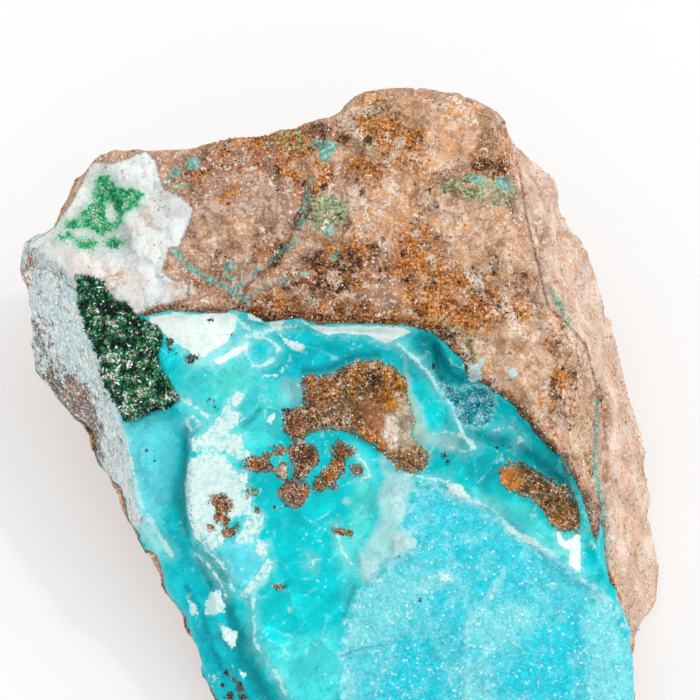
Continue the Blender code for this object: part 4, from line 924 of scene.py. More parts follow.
def thin_out(stone):
    """Keeps as many triangles as the stone may have, most of them on the display face."""
    mesh = stone.data
    points = points_of(mesh)
    x, y = seen(points)
    on_face = face_share(points, x, y, solid_relief(x, y))
    group = stone.vertex_groups.new(name="thin")
    for step in range(5):
        chosen = np.flatnonzero((on_face >= step / 5) & (on_face < (step + 1) / 5 + (step == 4)))
        if len(chosen):
            group.add(chosen.tolist(), 1.0 - 0.9 * step / 4, "REPLACE")
    mesh.calc_loop_triangles()
    decimate = stone.modifiers.new("thin_out", "DECIMATE")
    decimate.ratio = min(1.0, STONE_TRIANGLES / len(mesh.loop_triangles))
    decimate.use_collapse_triangulate = True
    decimate.vertex_group = group.name
    decimate.vertex_group_factor = 1.0
    apply_modifiers(stone)
    stone.vertex_groups.clear()


# ---------------------------------------------------------------- where each mineral lies

# How low the vein's chrysocolla reaches, round the stone: a place and the height of its floor. Where the
# floor is over the face, the flank is rock.
VEIN_FLOOR = (
    ((3.0, 30.0), -13.0), ((2.6, 35.0), -13.5), ((5.0, 40.0), -14.0), ((9.0, 45.0), -12.6),
    ((13.0, 52.5), -9.2), ((16.0, 57.5), -8.6), ((19.0, 63.0), -7.8), ((22.0, 70.0), -6.6),
    ((27.0, 77.0), -7.0), ((36.0, 84.0), -8.0), ((50.0, 85.0), -7.4), ((60.0, 81.0), -6.4),
    ((63.5, 73.0), -5.0), ((63.5, 66.0), -4.2), ((63.0, 62.0), -3.2), ((66.0, 57.0), 6.0),
    ((64.0, 45.0), 6.0), ((60.0, 30.0), 6.0), ((50.0, 12.0), 6.0), ((35.0, 12.0), 6.0), ((20.0, 14.0), 6.0),
    ((11.0, 15.0), 3.0), ((6.4, 18.6), 5.0), ((3.6, 23.0), -13.0),
)


def vein_floor(x, y):
    """Height of the vein's floor under each place, from the places round the stone that are nearest."""
    total = np.zeros(len(x))
    share = np.zeros(len(x))
    for (fx, fy), height in VEIN_FLOOR:
        weight = 1 / (((x - fx) ** 2 + (y - fy) ** 2) ** 1.5 + 0.5)
        total += weight * height
        share += weight
    return total / share


def mineral_depths(points, x, y):
    """How far each point lies inside each mineral, in millimetres, negative outside."""
    height = solid_relief(x, y)
    top = points[:, 2] > height - 3.4
    floor = vein_floor(x, y) + 0.5 * rises(points, 5.0) + 0.25 * rises(points, 1.2)
    below = floor - points[:, 2]
    far = OUT_OF_REACH

    def face_only(depth):
        return np.where(top, depth, far)

    weathered = np.minimum(depth_inside(x, y, WEATHERED), points[:, 2] - height + 5.0 + 2.0 * rises(points, 3.0, 3))
    crust = np.minimum(depth_inside(x, y, PALE_CRUST), points[:, 2] - floor)
    crust = np.where(y < 24.3, np.minimum(crust, -weathered), crust)
    on_face = face_share(points, x, y, height)
    rock = on_face * depth_inside(x, y, ROCK) + (1 - on_face) * np.clip(below, far, -far)
    veins = np.maximum(deepest(x, y, VEINS), course_depth(x, y, VEIN_LINES))
    malachite = np.minimum(deepest(x, y, MALACHITE), -depth_inside(x, y, MALACHITE_HOLE))
    spots = np.max([half - np.hypot(x - sx, y - sy) for (sx, sy), half in SPOTS], axis=0)
    druse = np.minimum(depth_inside(x, y, DRUSE), points[:, 2] - height + 1.6)
    depths = {
        "rock": rock,
        "right_flank": np.minimum(depth_inside(x, y, RIGHT_FLANK), (points[:, 2] + 21) / 3) + 1.6 * rises(points, 5.0, 3),
        "crust": crust,
        "weathered": weathered,
        "inclusion": face_only(deepest(x, y, INCLUSIONS)),
        "white": face_only(deepest(x, y, WHITE.values())),
        "torn": face_only(deepest(x, y, TORN.values())),
        "chip": face_only(deepest(x, y, CHIPS.values())),
        "pale_line": face_only(course_depth(x, y, PALE_LINES)),
        "crack_and_shadow_line": face_only(course_depth(x, y, CRACK_AND_SHADOW_LINES)),
        "needles": face_only(depth_inside(x, y, NEEDLES)),
        "malachite": face_only(malachite),
        "vein": face_only(veins),
        "spot": face_only(spots),
        "rock_chip": face_only(deepest(x, y, ROCK_CHIPS)),
        "pit_shade": face_only(np.max([half - np.hypot(x - sx, y - sy) for (sx, sy), half in SHADED_PITS], axis=0)),
        "crack": np.where(points[:, 2] > height - 8.0, course_depth(x, y, CRACKS), far),
        "druse": druse,
        "blue": face_only(deepest(x, y, BLUE)),
        "clear": face_only(deepest(x, y, CLEAR)),
        "floor": -below,
    }
    return {name: np.clip(depth, far, -far) for name, depth in depths.items()}


def toned(x, y, base, *tables):
    """The palette's colours laid over each other with soft edges, one colour for each point."""
    colour = np.tile(linear(PALETTE[base]), (len(x), 1))
    for table in tables:
        for name, edge, cover, outline in table:
            share = cover * smooth_step(0.5 + depth_inside(x, y, outline, 2 + edge) / edge)
            colour += share[:, None] * (linear(PALETTE[name]) - colour)
    return colour


def keep_minerals(stone):
    """Writes each mineral's depth and the tones of the chrysocolla and the rock on the stone's points."""
    mesh = stone.data
    points = points_of(mesh)
    x, y = seen(points)
    edges, kinds = facets(points, FACET_SIZE)
    numbers = mineral_depths(points, x, y) | {"facet_edge": edges, "facet_kind": kinds}
    # The chips' height: the rock's colour takes it as partly dirt in the hollows, partly painted shade there and
    # painted light on the tops.
    numbers["hollow"] = chips(points, 1.3)
    numbers["drift"] = np.clip(0.5 + 0.45 * rises(points + 40.0, 2.6, 3), 0.0, 1.0)
    shifted = points + wobble(points, 1.8, 0.5) + wobble(points, 0.6, 0.2)
    sx, sy = seen(shifted)
    top = points[:, 2] > solid_relief(x, y) - 3.4
    for name, table in (("rust", RUST), ("gloom", GLOOM), ("green", GREEN)):
        shares = [cover * smooth_step(0.5 + depth_inside(sx, sy, outline, 2 + edge) / edge)
                  for edge, cover, outline in table]
        shown = top | (numbers["crust"] > -0.5)
        numbers[name] = np.where(shown, np.max(shares, axis=0), 0.3 if name == "rust" else 0.0)
    numbers["green"] = np.maximum(numbers["green"], 0.7 * smooth_step(4 * (rises(points, 7.0, 3) - 0.42)) * ~top)
    clouds = rises(points, 3.0, 3) + 0.4 * rises(points, 0.8) + 0.08 - 0.6 * numbers["rust"] - 0.5 * numbers["gloom"]
    clouds = np.maximum(clouds, numbers["clear"] + 0.1)
    numbers["clear"] = smooth_step(0.5 + np.where(numbers["inclusion"] > -0.4, 1.6 * numbers["clear"], 1.8 * clouds))
    for name, value in numbers.items():
        mesh.attributes.new(name, "FLOAT", "POINT").data.foreach_set("value", value.astype(np.float32))
    tones = {
        "chrysocolla_tone": toned(sx, sy, "cyan", CHRYSOCOLLA_TONES, BAND_TONES),
        "druse_tone": toned(sx, sy, "druse", DRUSE_TONES),
        "rock_tone": toned(sx, sy, "tan rock", ROCK_TONES),
        "weathered_tone": toned(sx, sy, "chalk", WEATHERED_TONES),
        "inclusion_tone": toned(sx, sy, "umber", INCLUSION_TONES),
    }
    for name, colour in tones.items():
        values = np.hstack([colour, np.ones((len(colour), 1))]).astype(np.float32)
        mesh.attributes.new(name, "FLOAT_COLOR", "POINT").data.foreach_set("color", values.ravel())


def make_stone():
    stone = blank_stone()
    cut_face(stone)
    even_out(stone, VOXEL)
    swell_flank(stone)
    chip_stone(stone)
    thin_out(stone)
    keep_minerals(stone)
    stone.data.transform(to_solid())
    flatten_rest(stone)
    stone.data.shade_smooth()
    return stone

# ---------------------------------------------------------------- materials


class Nodes:
    """A material's nodes. Each call adds a node and returns the socket with its result."""

    def __init__(self, name):
        self.material = bpy.data.materials.new(name)
        self.material.use_nodes = True
        self.tree = self.material.node_tree
        self.shader = self.tree.nodes["Principled BSDF"]
        places = self.tree.nodes.new("ShaderNodeTexCoord").outputs["Object"]
        scale = self.tree.nodes.new("ShaderNodeVectorMath")
        scale.operation = "SCALE"
        scale.inputs["Scale"].default_value = 1 / MM
        self.tree.links.new(places, scale.inputs[0])
        self.millimetres = scale.outputs["Vector"]

    def put(self, socket, value):
        """Links a socket's value, or sets it."""
        if isinstance(value, bpy.types.NodeSocket):
            self.tree.links.new(value, socket)
        else:
            socket.default_value = value

    def math(self, operation, first, second=0.0, third=0.0, clamp=False):
        node = self.tree.nodes.new("ShaderNodeMath")
        node.operation = operation
        node.use_clamp = clamp
        for socket, value in zip(node.inputs, (first, second, third)):
            self.put(socket, value)
        return node.outputs[0]

    def value(self, name):
        """A number kept on the mesh."""
        node = self.tree.nodes.new("ShaderNodeAttribute")
        node.attribute_name = name
        return node.outputs["Fac"]

    def colour(self, name):
        """A colour kept on the mesh."""
        node = self.tree.nodes.new("ShaderNodeAttribute")
        node.attribute_name = name
        return node.outputs["Color"]

    def noise(self, size, detail=2.0, roughness=0.5, distortion=0.0, place=None):
        """Smooth noise from 0 to 1 whose swings are about this many millimetres apart."""
        node = self.tree.nodes.new("ShaderNodeTexNoise")
        node.inputs["Scale"].default_value = 1 / size
        node.inputs["Detail"].default_value = detail
        node.inputs["Roughness"].default_value = roughness
        node.inputs["Distortion"].default_value = distortion
        self.put(node.inputs["Vector"], place or self.millimetres)
        return node.outputs["Fac"]

    def cells(self, size, place=None, feature="F1"):
        """Grains this many millimetres wide: the distance in each and a random number for each."""
        node = self.tree.nodes.new("ShaderNodeTexVoronoi")
        node.feature = feature
        node.inputs["Scale"].default_value = 1 / size
        self.put(node.inputs["Vector"], place or self.millimetres)
        if feature == "DISTANCE_TO_EDGE":
            return node.outputs["Distance"], None
        split = self.tree.nodes.new("ShaderNodeSeparateColor")
        self.tree.links.new(node.outputs["Color"], split.inputs["Color"])
        return node.outputs["Distance"], split.outputs["Red"]

    def stretched(self, turn, shares):
        """Places in the display face's axes turned by some degrees, squeezed along each axis, for long patterns."""
        spin = self.tree.nodes.new("ShaderNodeMapping")
        spin.inputs["Rotation"].default_value = (-math.radians(FACE_TILT), 0.0, math.radians(turn))
        self.tree.links.new(self.millimetres, spin.inputs["Vector"])
        squeeze = self.tree.nodes.new("ShaderNodeVectorMath")
        squeeze.operation = "MULTIPLY"
        self.tree.links.new(spin.outputs["Vector"], squeeze.inputs[0])
        squeeze.inputs[1].default_value = shares
        return squeeze.outputs["Vector"]

    def product(self, *factors):
        """Numbers multiplied together."""
        result = factors[0]
        for factor in factors[1:]:
            result = self.math("MULTIPLY", result, factor)
        return result

    def angular(self, size, gap, place=None):
        """Sharp-cornered grains of this size: a random number for each, and 1 inside them, 0 in their gaps."""
        _, kind = self.cells(size, place)
        edge, _ = self.cells(size, place, "DISTANCE_TO_EDGE")
        return kind, self.ramp(edge, gap, gap + 0.05)

    def some(self, grains, share, highest=True):
        """1 inside this share of the angular grains: those with the highest random numbers, or the lowest."""
        kind, solid = grains
        chosen = self.ramp(kind, 1 - share, 1.01 - share) if highest else self.ramp(kind, share, share - 0.01)
        return self.product(chosen, solid)

    def ramp(self, value, low, high, start=0.0, end=1.0):
        """The value mapped from low..high to start..end, and held at the ends."""
        node = self.tree.nodes.new("ShaderNodeMapRange")
        for socket, number in zip(node.inputs[:5], (value, low, high, start, end)):
            self.put(socket, number)
        return node.outputs["Result"]

    def mix(self, share, first, second, way="MIX"):
        """Two colours mixed; each is a socket, or sRGB values."""
        node = self.tree.nodes.new("ShaderNodeMix")
        node.data_type = "RGBA"
        node.blend_type = way
        node.clamp_result = False
        self.put(node.inputs["Factor"], share)
        for name, colour in (("A", first), ("B", second)):
            socket = next(s for s in node.inputs if s.name == name and s.type == "RGBA")
            if not isinstance(colour, bpy.types.NodeSocket):
                colour = (*linear(colour), 1.0)
            self.put(socket, colour)
        return next(s for s in node.outputs if s.type == "RGBA")

    def steps(self, value, *colours):
        """Colours one after another as the value rises from 0 to 1: each is where it starts and its sRGB."""
        node = self.tree.nodes.new("ShaderNodeValToRGB")
        band = node.color_ramp
        band.interpolation = "LINEAR"
        while len(band.elements) < len(colours):
            band.elements.new(1.0)
        for element, (start, colour) in zip(band.elements, colours):
            element.position = start
            element.color = (*linear(colour), 1.0)
        self.put(node.inputs["Fac"], value)
        return node.outputs["Color"]

    def bump(self, height, depth=1.0):
        """Small relief: the height is in millimetres."""
        node = self.tree.nodes.new("ShaderNodeBump")
        node.inputs["Distance"].default_value = depth * MM
        self.put(node.inputs["Height"], height)
        self.tree.links.new(node.outputs["Normal"], self.shader.inputs["Normal"])


def brightened(nodes, colour, share, amount):
    """The colour made lighter and darker by a number from 0 to 1: by this much at its ends."""
    return nodes.mix(1.0, colour, grey(nodes, nodes.ramp(share, 0.0, 1.0, 1 - amount, 1 + amount)), "MULTIPLY")


def grey(nodes, value):
    """A number as a grey."""
    node = nodes.tree.nodes.new("ShaderNodeCombineColor")
    for socket in node.inputs:
        nodes.tree.links.new(value, socket)
    return node.outputs["Color"]


def gritty(n, colour, low, high, light=(250, 238, 226), cover=0.6):
    """The colour darker in small pits and lighter on small grains."""
    colour = n.mix(1.0, colour, grey(n, n.ramp(n.grit, 0.34, 0.64, low, high)), "MULTIPLY")
    return n.mix(n.product(n.ramp(n.grit, 0.60, 0.70), cover), colour, light)


def share_patterns(n):
    """The patterns that the minerals share. They never meet in one place, so one of each is enough."""
    n.ragged = n.math("SUBTRACT", n.noise(0.9, 3.0, 0.65), 0.5)
    n.torn = n.math("SUBTRACT", n.noise(0.28, 3.0, 0.7), 0.5)
    n.grit = n.noise(0.32, 2.0, 0.8)
    n.hue = n.noise(0.5, 4.0, 0.8)
    n.cloud = n.noise(1.9, 6.0, 0.8)
    n.patch = n.noise(1.37, 6.0, 0.8)
    n.sweep = n.noise(0.9, 4.0, 0.65, place=n.stretched(40, (1.0, 0.25, 1.0)))
    n.along = n.noise(0.8, 4.0, 0.75, place=n.stretched(-18, (1.0, 0.2, 0.5)))
    n.drift = n.value("drift")
    _, n.kind = n.cells(0.22)
    n.small = n.angular(0.28, 0.05)
    n.middling = n.angular(0.7, 0.08)
    n.large = n.angular(1.5, 0.10, n.stretched(-30, (1.0, 0.5, 1.0)))


def chrysocolla_colour(n):
    """Clear tones, clouds, veils, healed cracks, ledges and fine white dust."""
    colour = brightened(n, n.colour("chrysocolla_tone"), n.drift, 0.20)
    colour = brightened(n, colour, n.sweep, 0.24)
    split = n.tree.nodes.new("ShaderNodeSeparateColor")
    n.tree.links.new(n.colour("chrysocolla_tone"), split.inputs["Color"])
    pale = n.ramp(split.outputs["Red"], 0.28, 0.50)
    colour = n.mix(n.product(pale, n.ramp(n.hue, 0.50, 0.57), 0.5), colour, (226, 240, 240))
    colour = n.mix(n.product(pale, n.ramp(n.hue, 0.46, 0.38), 0.45), colour, (96, 206, 212))
    colour = brightened(n, colour, n.value("facet_kind"), 0.28)
    colour = brightened(n, colour, n.ramp(n.grit, 0.3, 0.7), 0.10)
    colour = n.mix(n.product(n.ramp(n.patch, 0.47, 0.38), 0.5), colour, (0, 170, 182))
    colour = n.mix(n.product(n.ramp(n.cloud, 0.57, 0.67), 0.16), colour, (140, 228, 228))
    colour = n.mix(n.product(n.ramp(n.sweep, 0.60, 0.68), 0.16), colour, (180, 236, 236))
    ledge = n.product(n.ramp(n.value("facet_edge"), 0.16, 0.03), n.ramp(n.patch, 0.52, 0.58))
    colour = n.mix(n.product(ledge, 0.5), colour, (196, 242, 240))
    bright_part = n.ramp(n.drift, 0.50, 0.62)
    colour = n.mix(n.product(n.some(n.small, 0.02), bright_part, 0.5), colour, (214, 242, 240))
    return n.mix(n.product(n.some(n.middling, 0.012), bright_part, 0.5), colour, (196, 238, 236))


def druse_colour(n):
    """Sugary crusts of small crystals, with frost, glints and arcs."""
    colour = brightened(n, n.colour("druse_tone"), n.kind, 0.12)
    colour = brightened(n, colour, n.math("ADD", n.ragged, 0.5), 0.26)
    colour = brightened(n, colour, n.ramp(n.grit, 0.3, 0.7), 0.16)
    colour = n.mix(n.product(n.ramp(n.cloud, 0.50, 0.62), 0.45), colour, (170, 234, 238))
    colour = n.mix(n.product(n.ramp(n.patch, 0.47, 0.38), 0.65), colour, (0, 186, 212))
    return n.mix(n.product(n.some(n.small, 0.12), n.ramp(n.hue, 0.46, 0.54), 0.75), colour, (232, 250, 248))


def rock_colour(n):
    """Sugary quartz in tan and pink, rust between its grains, dark pits, white flakes and green stains."""
    clear = n.value("clear")
    grainy = n.ramp(clear, 0.0, 1.0, 1.0, 0.6)
    colour = brightened(n, n.colour("rock_tone"), n.value("facet_kind"), 0.30)
    # Darker in the chips' hollows and lighter on their tops: partly dirt, partly painted shade and painted light.
    colour = brightened(n, colour, n.ramp(n.value("hollow"), -0.6, 0.6), 0.28)
    colour = brightened(n, colour, n.drift, 0.20)
    colour = brightened(n, colour, n.kind, 0.12)
    colour = n.mix(n.ramp(n.hue, 0.44, 0.34, 0.0, 0.6), colour, (182, 146, 134))
    colour = n.mix(n.product(n.ramp(n.hue, 0.52, 0.62), n.ramp(n.drift, 0.40, 0.60), 0.5), colour, (232, 162, 98))
    colour = n.mix(n.product(clear, n.ramp(n.patch, 0.48, 0.54), 0.6), colour, (240, 210, 188))
    colour = n.mix(n.product(clear, n.ramp(n.cloud, 0.47, 0.42), 0.5), colour, (176, 138, 116))
    colour = gritty(n, colour, n.ramp(clear, 0.0, 1.0, 0.50, 0.80), n.ramp(clear, 0.0, 1.0, 1.40, 1.16),
                    cover=n.product(grainy, 0.75))
    glint = n.product(n.ramp(n.hue, 0.487, 0.5), n.ramp(n.hue, 0.513, 0.5), n.ramp(n.patch, 0.50, 0.56))
    colour = n.mix(n.product(glint, 0.6), colour, (255, 244, 230))
    rust_at = n.math("MULTIPLY_ADD", n.value("rust"), 0.12, n.cloud)
    rust_at = n.math("MULTIPLY_ADD", n.hue, 0.35, rust_at)
    rust_at = n.math("MULTIPLY_ADD", clear, -0.05, rust_at)
    rust = n.steps(n.grit, (0.34, (96, 52, 26)), (0.43, (180, 96, 32)), (0.54, (228, 136, 42)), (0.66, (255, 216, 142)))
    colour = n.mix(n.ramp(rust_at, 0.715, 0.785, 0.0, 0.9), colour, rust)
    dark_at = n.math("MULTIPLY_ADD", n.value("gloom"), 0.16, n.patch)
    dark_at = n.math("MULTIPLY_ADD", n.torn, 0.3, dark_at)
    dark_at = n.math("MULTIPLY_ADD", clear, -0.06, dark_at)
    # More dark specks in the chips' hollows: partly dirt, partly painted shade.
    dark_at = n.math("MULTIPLY_ADD", n.value("hollow"), -0.08, dark_at)
    dark = n.steps(n.grit, (0.36, (36, 24, 22)), (0.5, (84, 54, 42)), (0.66, (170, 124, 98)))
    colour = n.mix(n.ramp(dark_at, 0.55, 0.63, 0.0, 0.9), colour, dark)
    green_at = n.math("MULTIPLY_ADD", n.value("green"), 0.30, n.math("MULTIPLY_ADD", n.torn, 0.6, n.ragged))
    stain = n.steps(n.grit, (0.36, (66, 92, 56)), (0.5, (132, 158, 116)), (0.64, (214, 218, 176)))
    colour = n.mix(n.ramp(green_at, 0.16, 0.30, 0.0, 0.85), colour, stain)
    broken = n.ramp(n.grit, 0.42, 0.50)
    patchy = n.ramp(n.drift, 0.38, 0.54)
    colour = n.mix(n.product(n.some(n.large, 0.09), broken, 0.9), colour, (250, 232, 216))
    colour = n.mix(n.product(n.some(n.middling, 0.11), broken, patchy, 0.9), colour, (252, 240, 230))
    colour = n.mix(n.product(n.some(n.small, 0.16), grainy, patchy, 0.9), colour, (255, 246, 238))
    return n.mix(n.product(n.some(n.small, 0.12, False), n.ramp(n.patch, 0.50, 0.55), grainy, 0.9), colour, (54, 36, 30))


def pale_and_lit_flank_colour(n):
    """The pale blushing rock of the right flank, made paler still by painted light from the right, with streaks along
    it.
    """
    colour = n.mix(n.ramp(n.drift, 0.35, 0.65), (252, 230, 213), (236, 198, 174))
    colour = brightened(n, colour, n.ramp(n.along, 0.3, 0.7), 0.18)
    colour = gritty(n, colour, 0.88, 1.08)
    streak = n.math("MULTIPLY_ADD", n.torn, 0.3, n.along)
    colour = n.mix(n.ramp(streak, 0.60, 0.67, 0.0, 0.6), colour, (166, 120, 100))
    warm = n.math("MULTIPLY_ADD", n.value("rust"), 0.12, n.math("MULTIPLY_ADD", n.torn, 0.25, n.cloud))
    colour = n.mix(n.ramp(warm, 0.57, 0.66, 0.0, 0.8), colour, (226, 152, 92))
    colour = n.mix(n.product(n.some(n.small, 0.05, False), 0.5), colour, (140, 102, 84))
    return n.mix(n.product(n.some(n.small, 0.12), 0.7), colour, (255, 248, 242))


def inclusion_colour(n):
    """Brown and orange crumbs with white, dark and greenish grains."""
    clear = n.value("clear")
    grainy = n.ramp(clear, 0.0, 1.0, 1.0, 0.25)
    colour = brightened(n, n.colour("inclusion_tone"), n.kind, 0.24)
    colour = brightened(n, colour, n.ramp(n.patch, 0.36, 0.64), 0.5)
    blotch = n.math("MULTIPLY_ADD", n.torn, 0.4, n.ragged)
    colour = n.mix(n.product(n.ramp(blotch, 0.04, 0.14), n.ramp(clear, 0.0, 1.0, 0.85, 0.25)), colour, (216, 132, 44))
    colour = n.mix(n.product(n.ramp(blotch, -0.04, -0.12), grainy, 0.8), colour, (88, 62, 48))
    colour = n.mix(n.product(n.ramp(n.cloud, 0.54, 0.60), grainy, 0.45), colour, (206, 176, 146))
    colour = gritty(n, colour, n.ramp(clear, 0.0, 1.0, 0.34, 0.86), n.ramp(clear, 0.0, 1.0, 1.6, 1.1),
                    (246, 226, 206), n.product(grainy, 0.55))
    patchy = n.ramp(n.patch, 0.48, 0.54)
    colour = n.mix(n.product(n.some(n.middling, 0.10), grainy, 0.85), colour, (244, 226, 208))
    colour = n.mix(n.product(n.some(n.small, 0.12), grainy, patchy, 0.9), colour, (252, 240, 230))
    return n.mix(n.product(n.some(n.small, 0.16, False), grainy, 0.85), colour, (42, 28, 24))


def weathered_colour(n):
    """White clay, blushing beige, with grey and orange specks."""
    colour = n.mix(n.ramp(n.cloud, 0.53, 0.62, 0.0, 0.25), n.colour("weathered_tone"), (250, 240, 228))
    white_at = n.math("MULTIPLY_ADD", n.torn, 0.8, n.ragged)
    colour = n.mix(n.product(n.ramp(white_at, -0.05, 0.01), 0.85), colour, (252, 255, 254))
    edge = n.math("MULTIPLY_ADD", n.torn, 0.9, n.value("weathered"))
    colour = n.mix(n.product(n.ramp(edge, 0.30, 0.10), 0.75), colour, (150, 104, 70))
    specks = n.product(n.some(n.small, 0.26), n.ramp(n.patch, 0.54, 0.59))
    colour = n.mix(n.product(specks, 0.7), colour, (128, 114, 112))
    crack = n.product(n.ramp(n.cloud, 0.487, 0.5), n.ramp(n.cloud, 0.513, 0.5))
    colour = n.mix(n.product(crack, 0.22), colour, (186, 170, 158))
    fine_crack = n.product(n.ramp(n.hue, 0.480, 0.5), n.ramp(n.hue, 0.520, 0.5), n.ramp(n.drift, 0.40, 0.56))
    colour = n.mix(n.product(fine_crack, 0.32), colour, (172, 166, 156))
    rusty = n.ramp(n.math("MULTIPLY_ADD", n.torn, 0.6, n.patch), 0.60, 0.67)
    return n.mix(n.product(rusty, 0.6), colour, (230, 152, 78))


def crust_colour(n):
    """The pale crust down the left flank."""
    colour = n.mix(n.ramp(n.math("MULTIPLY_ADD", n.ragged, 0.4, n.along), 0.42, 0.58), (228, 236, 234), (186, 210, 214))
    colour = n.mix(n.ramp(n.along, 0.45, 0.38, 0.0, 0.55), colour, (142, 158, 162))
    colour = gritty(n, colour, 0.76, 1.10, (252, 252, 250))
    speck = n.math("MULTIPLY_ADD", n.torn, 0.5, n.patch)
    speck = n.math("MULTIPLY_ADD", n.value("gloom"), 0.20, speck)
    dark = n.steps(n.grit, (0.38, (40, 32, 28)), (0.5, (104, 74, 56)), (0.62, (178, 160, 146)))
    colour = n.mix(n.ramp(speck, 0.57, 0.63, 0.0, 0.9), colour, dark)
    rusty = n.math("MULTIPLY_ADD", n.value("rust"), 0.18, n.math("MULTIPLY_ADD", n.torn, 0.5, n.cloud))
    rust = n.steps(n.grit, (0.38, (96, 56, 32)), (0.5, (190, 112, 50)), (0.62, (236, 190, 140)))
    colour = n.mix(n.ramp(rusty, 0.61, 0.68, 0.0, 0.9), colour, rust)
    return n.mix(n.product(n.some(n.small, 0.1), 0.7), colour, (252, 254, 252))


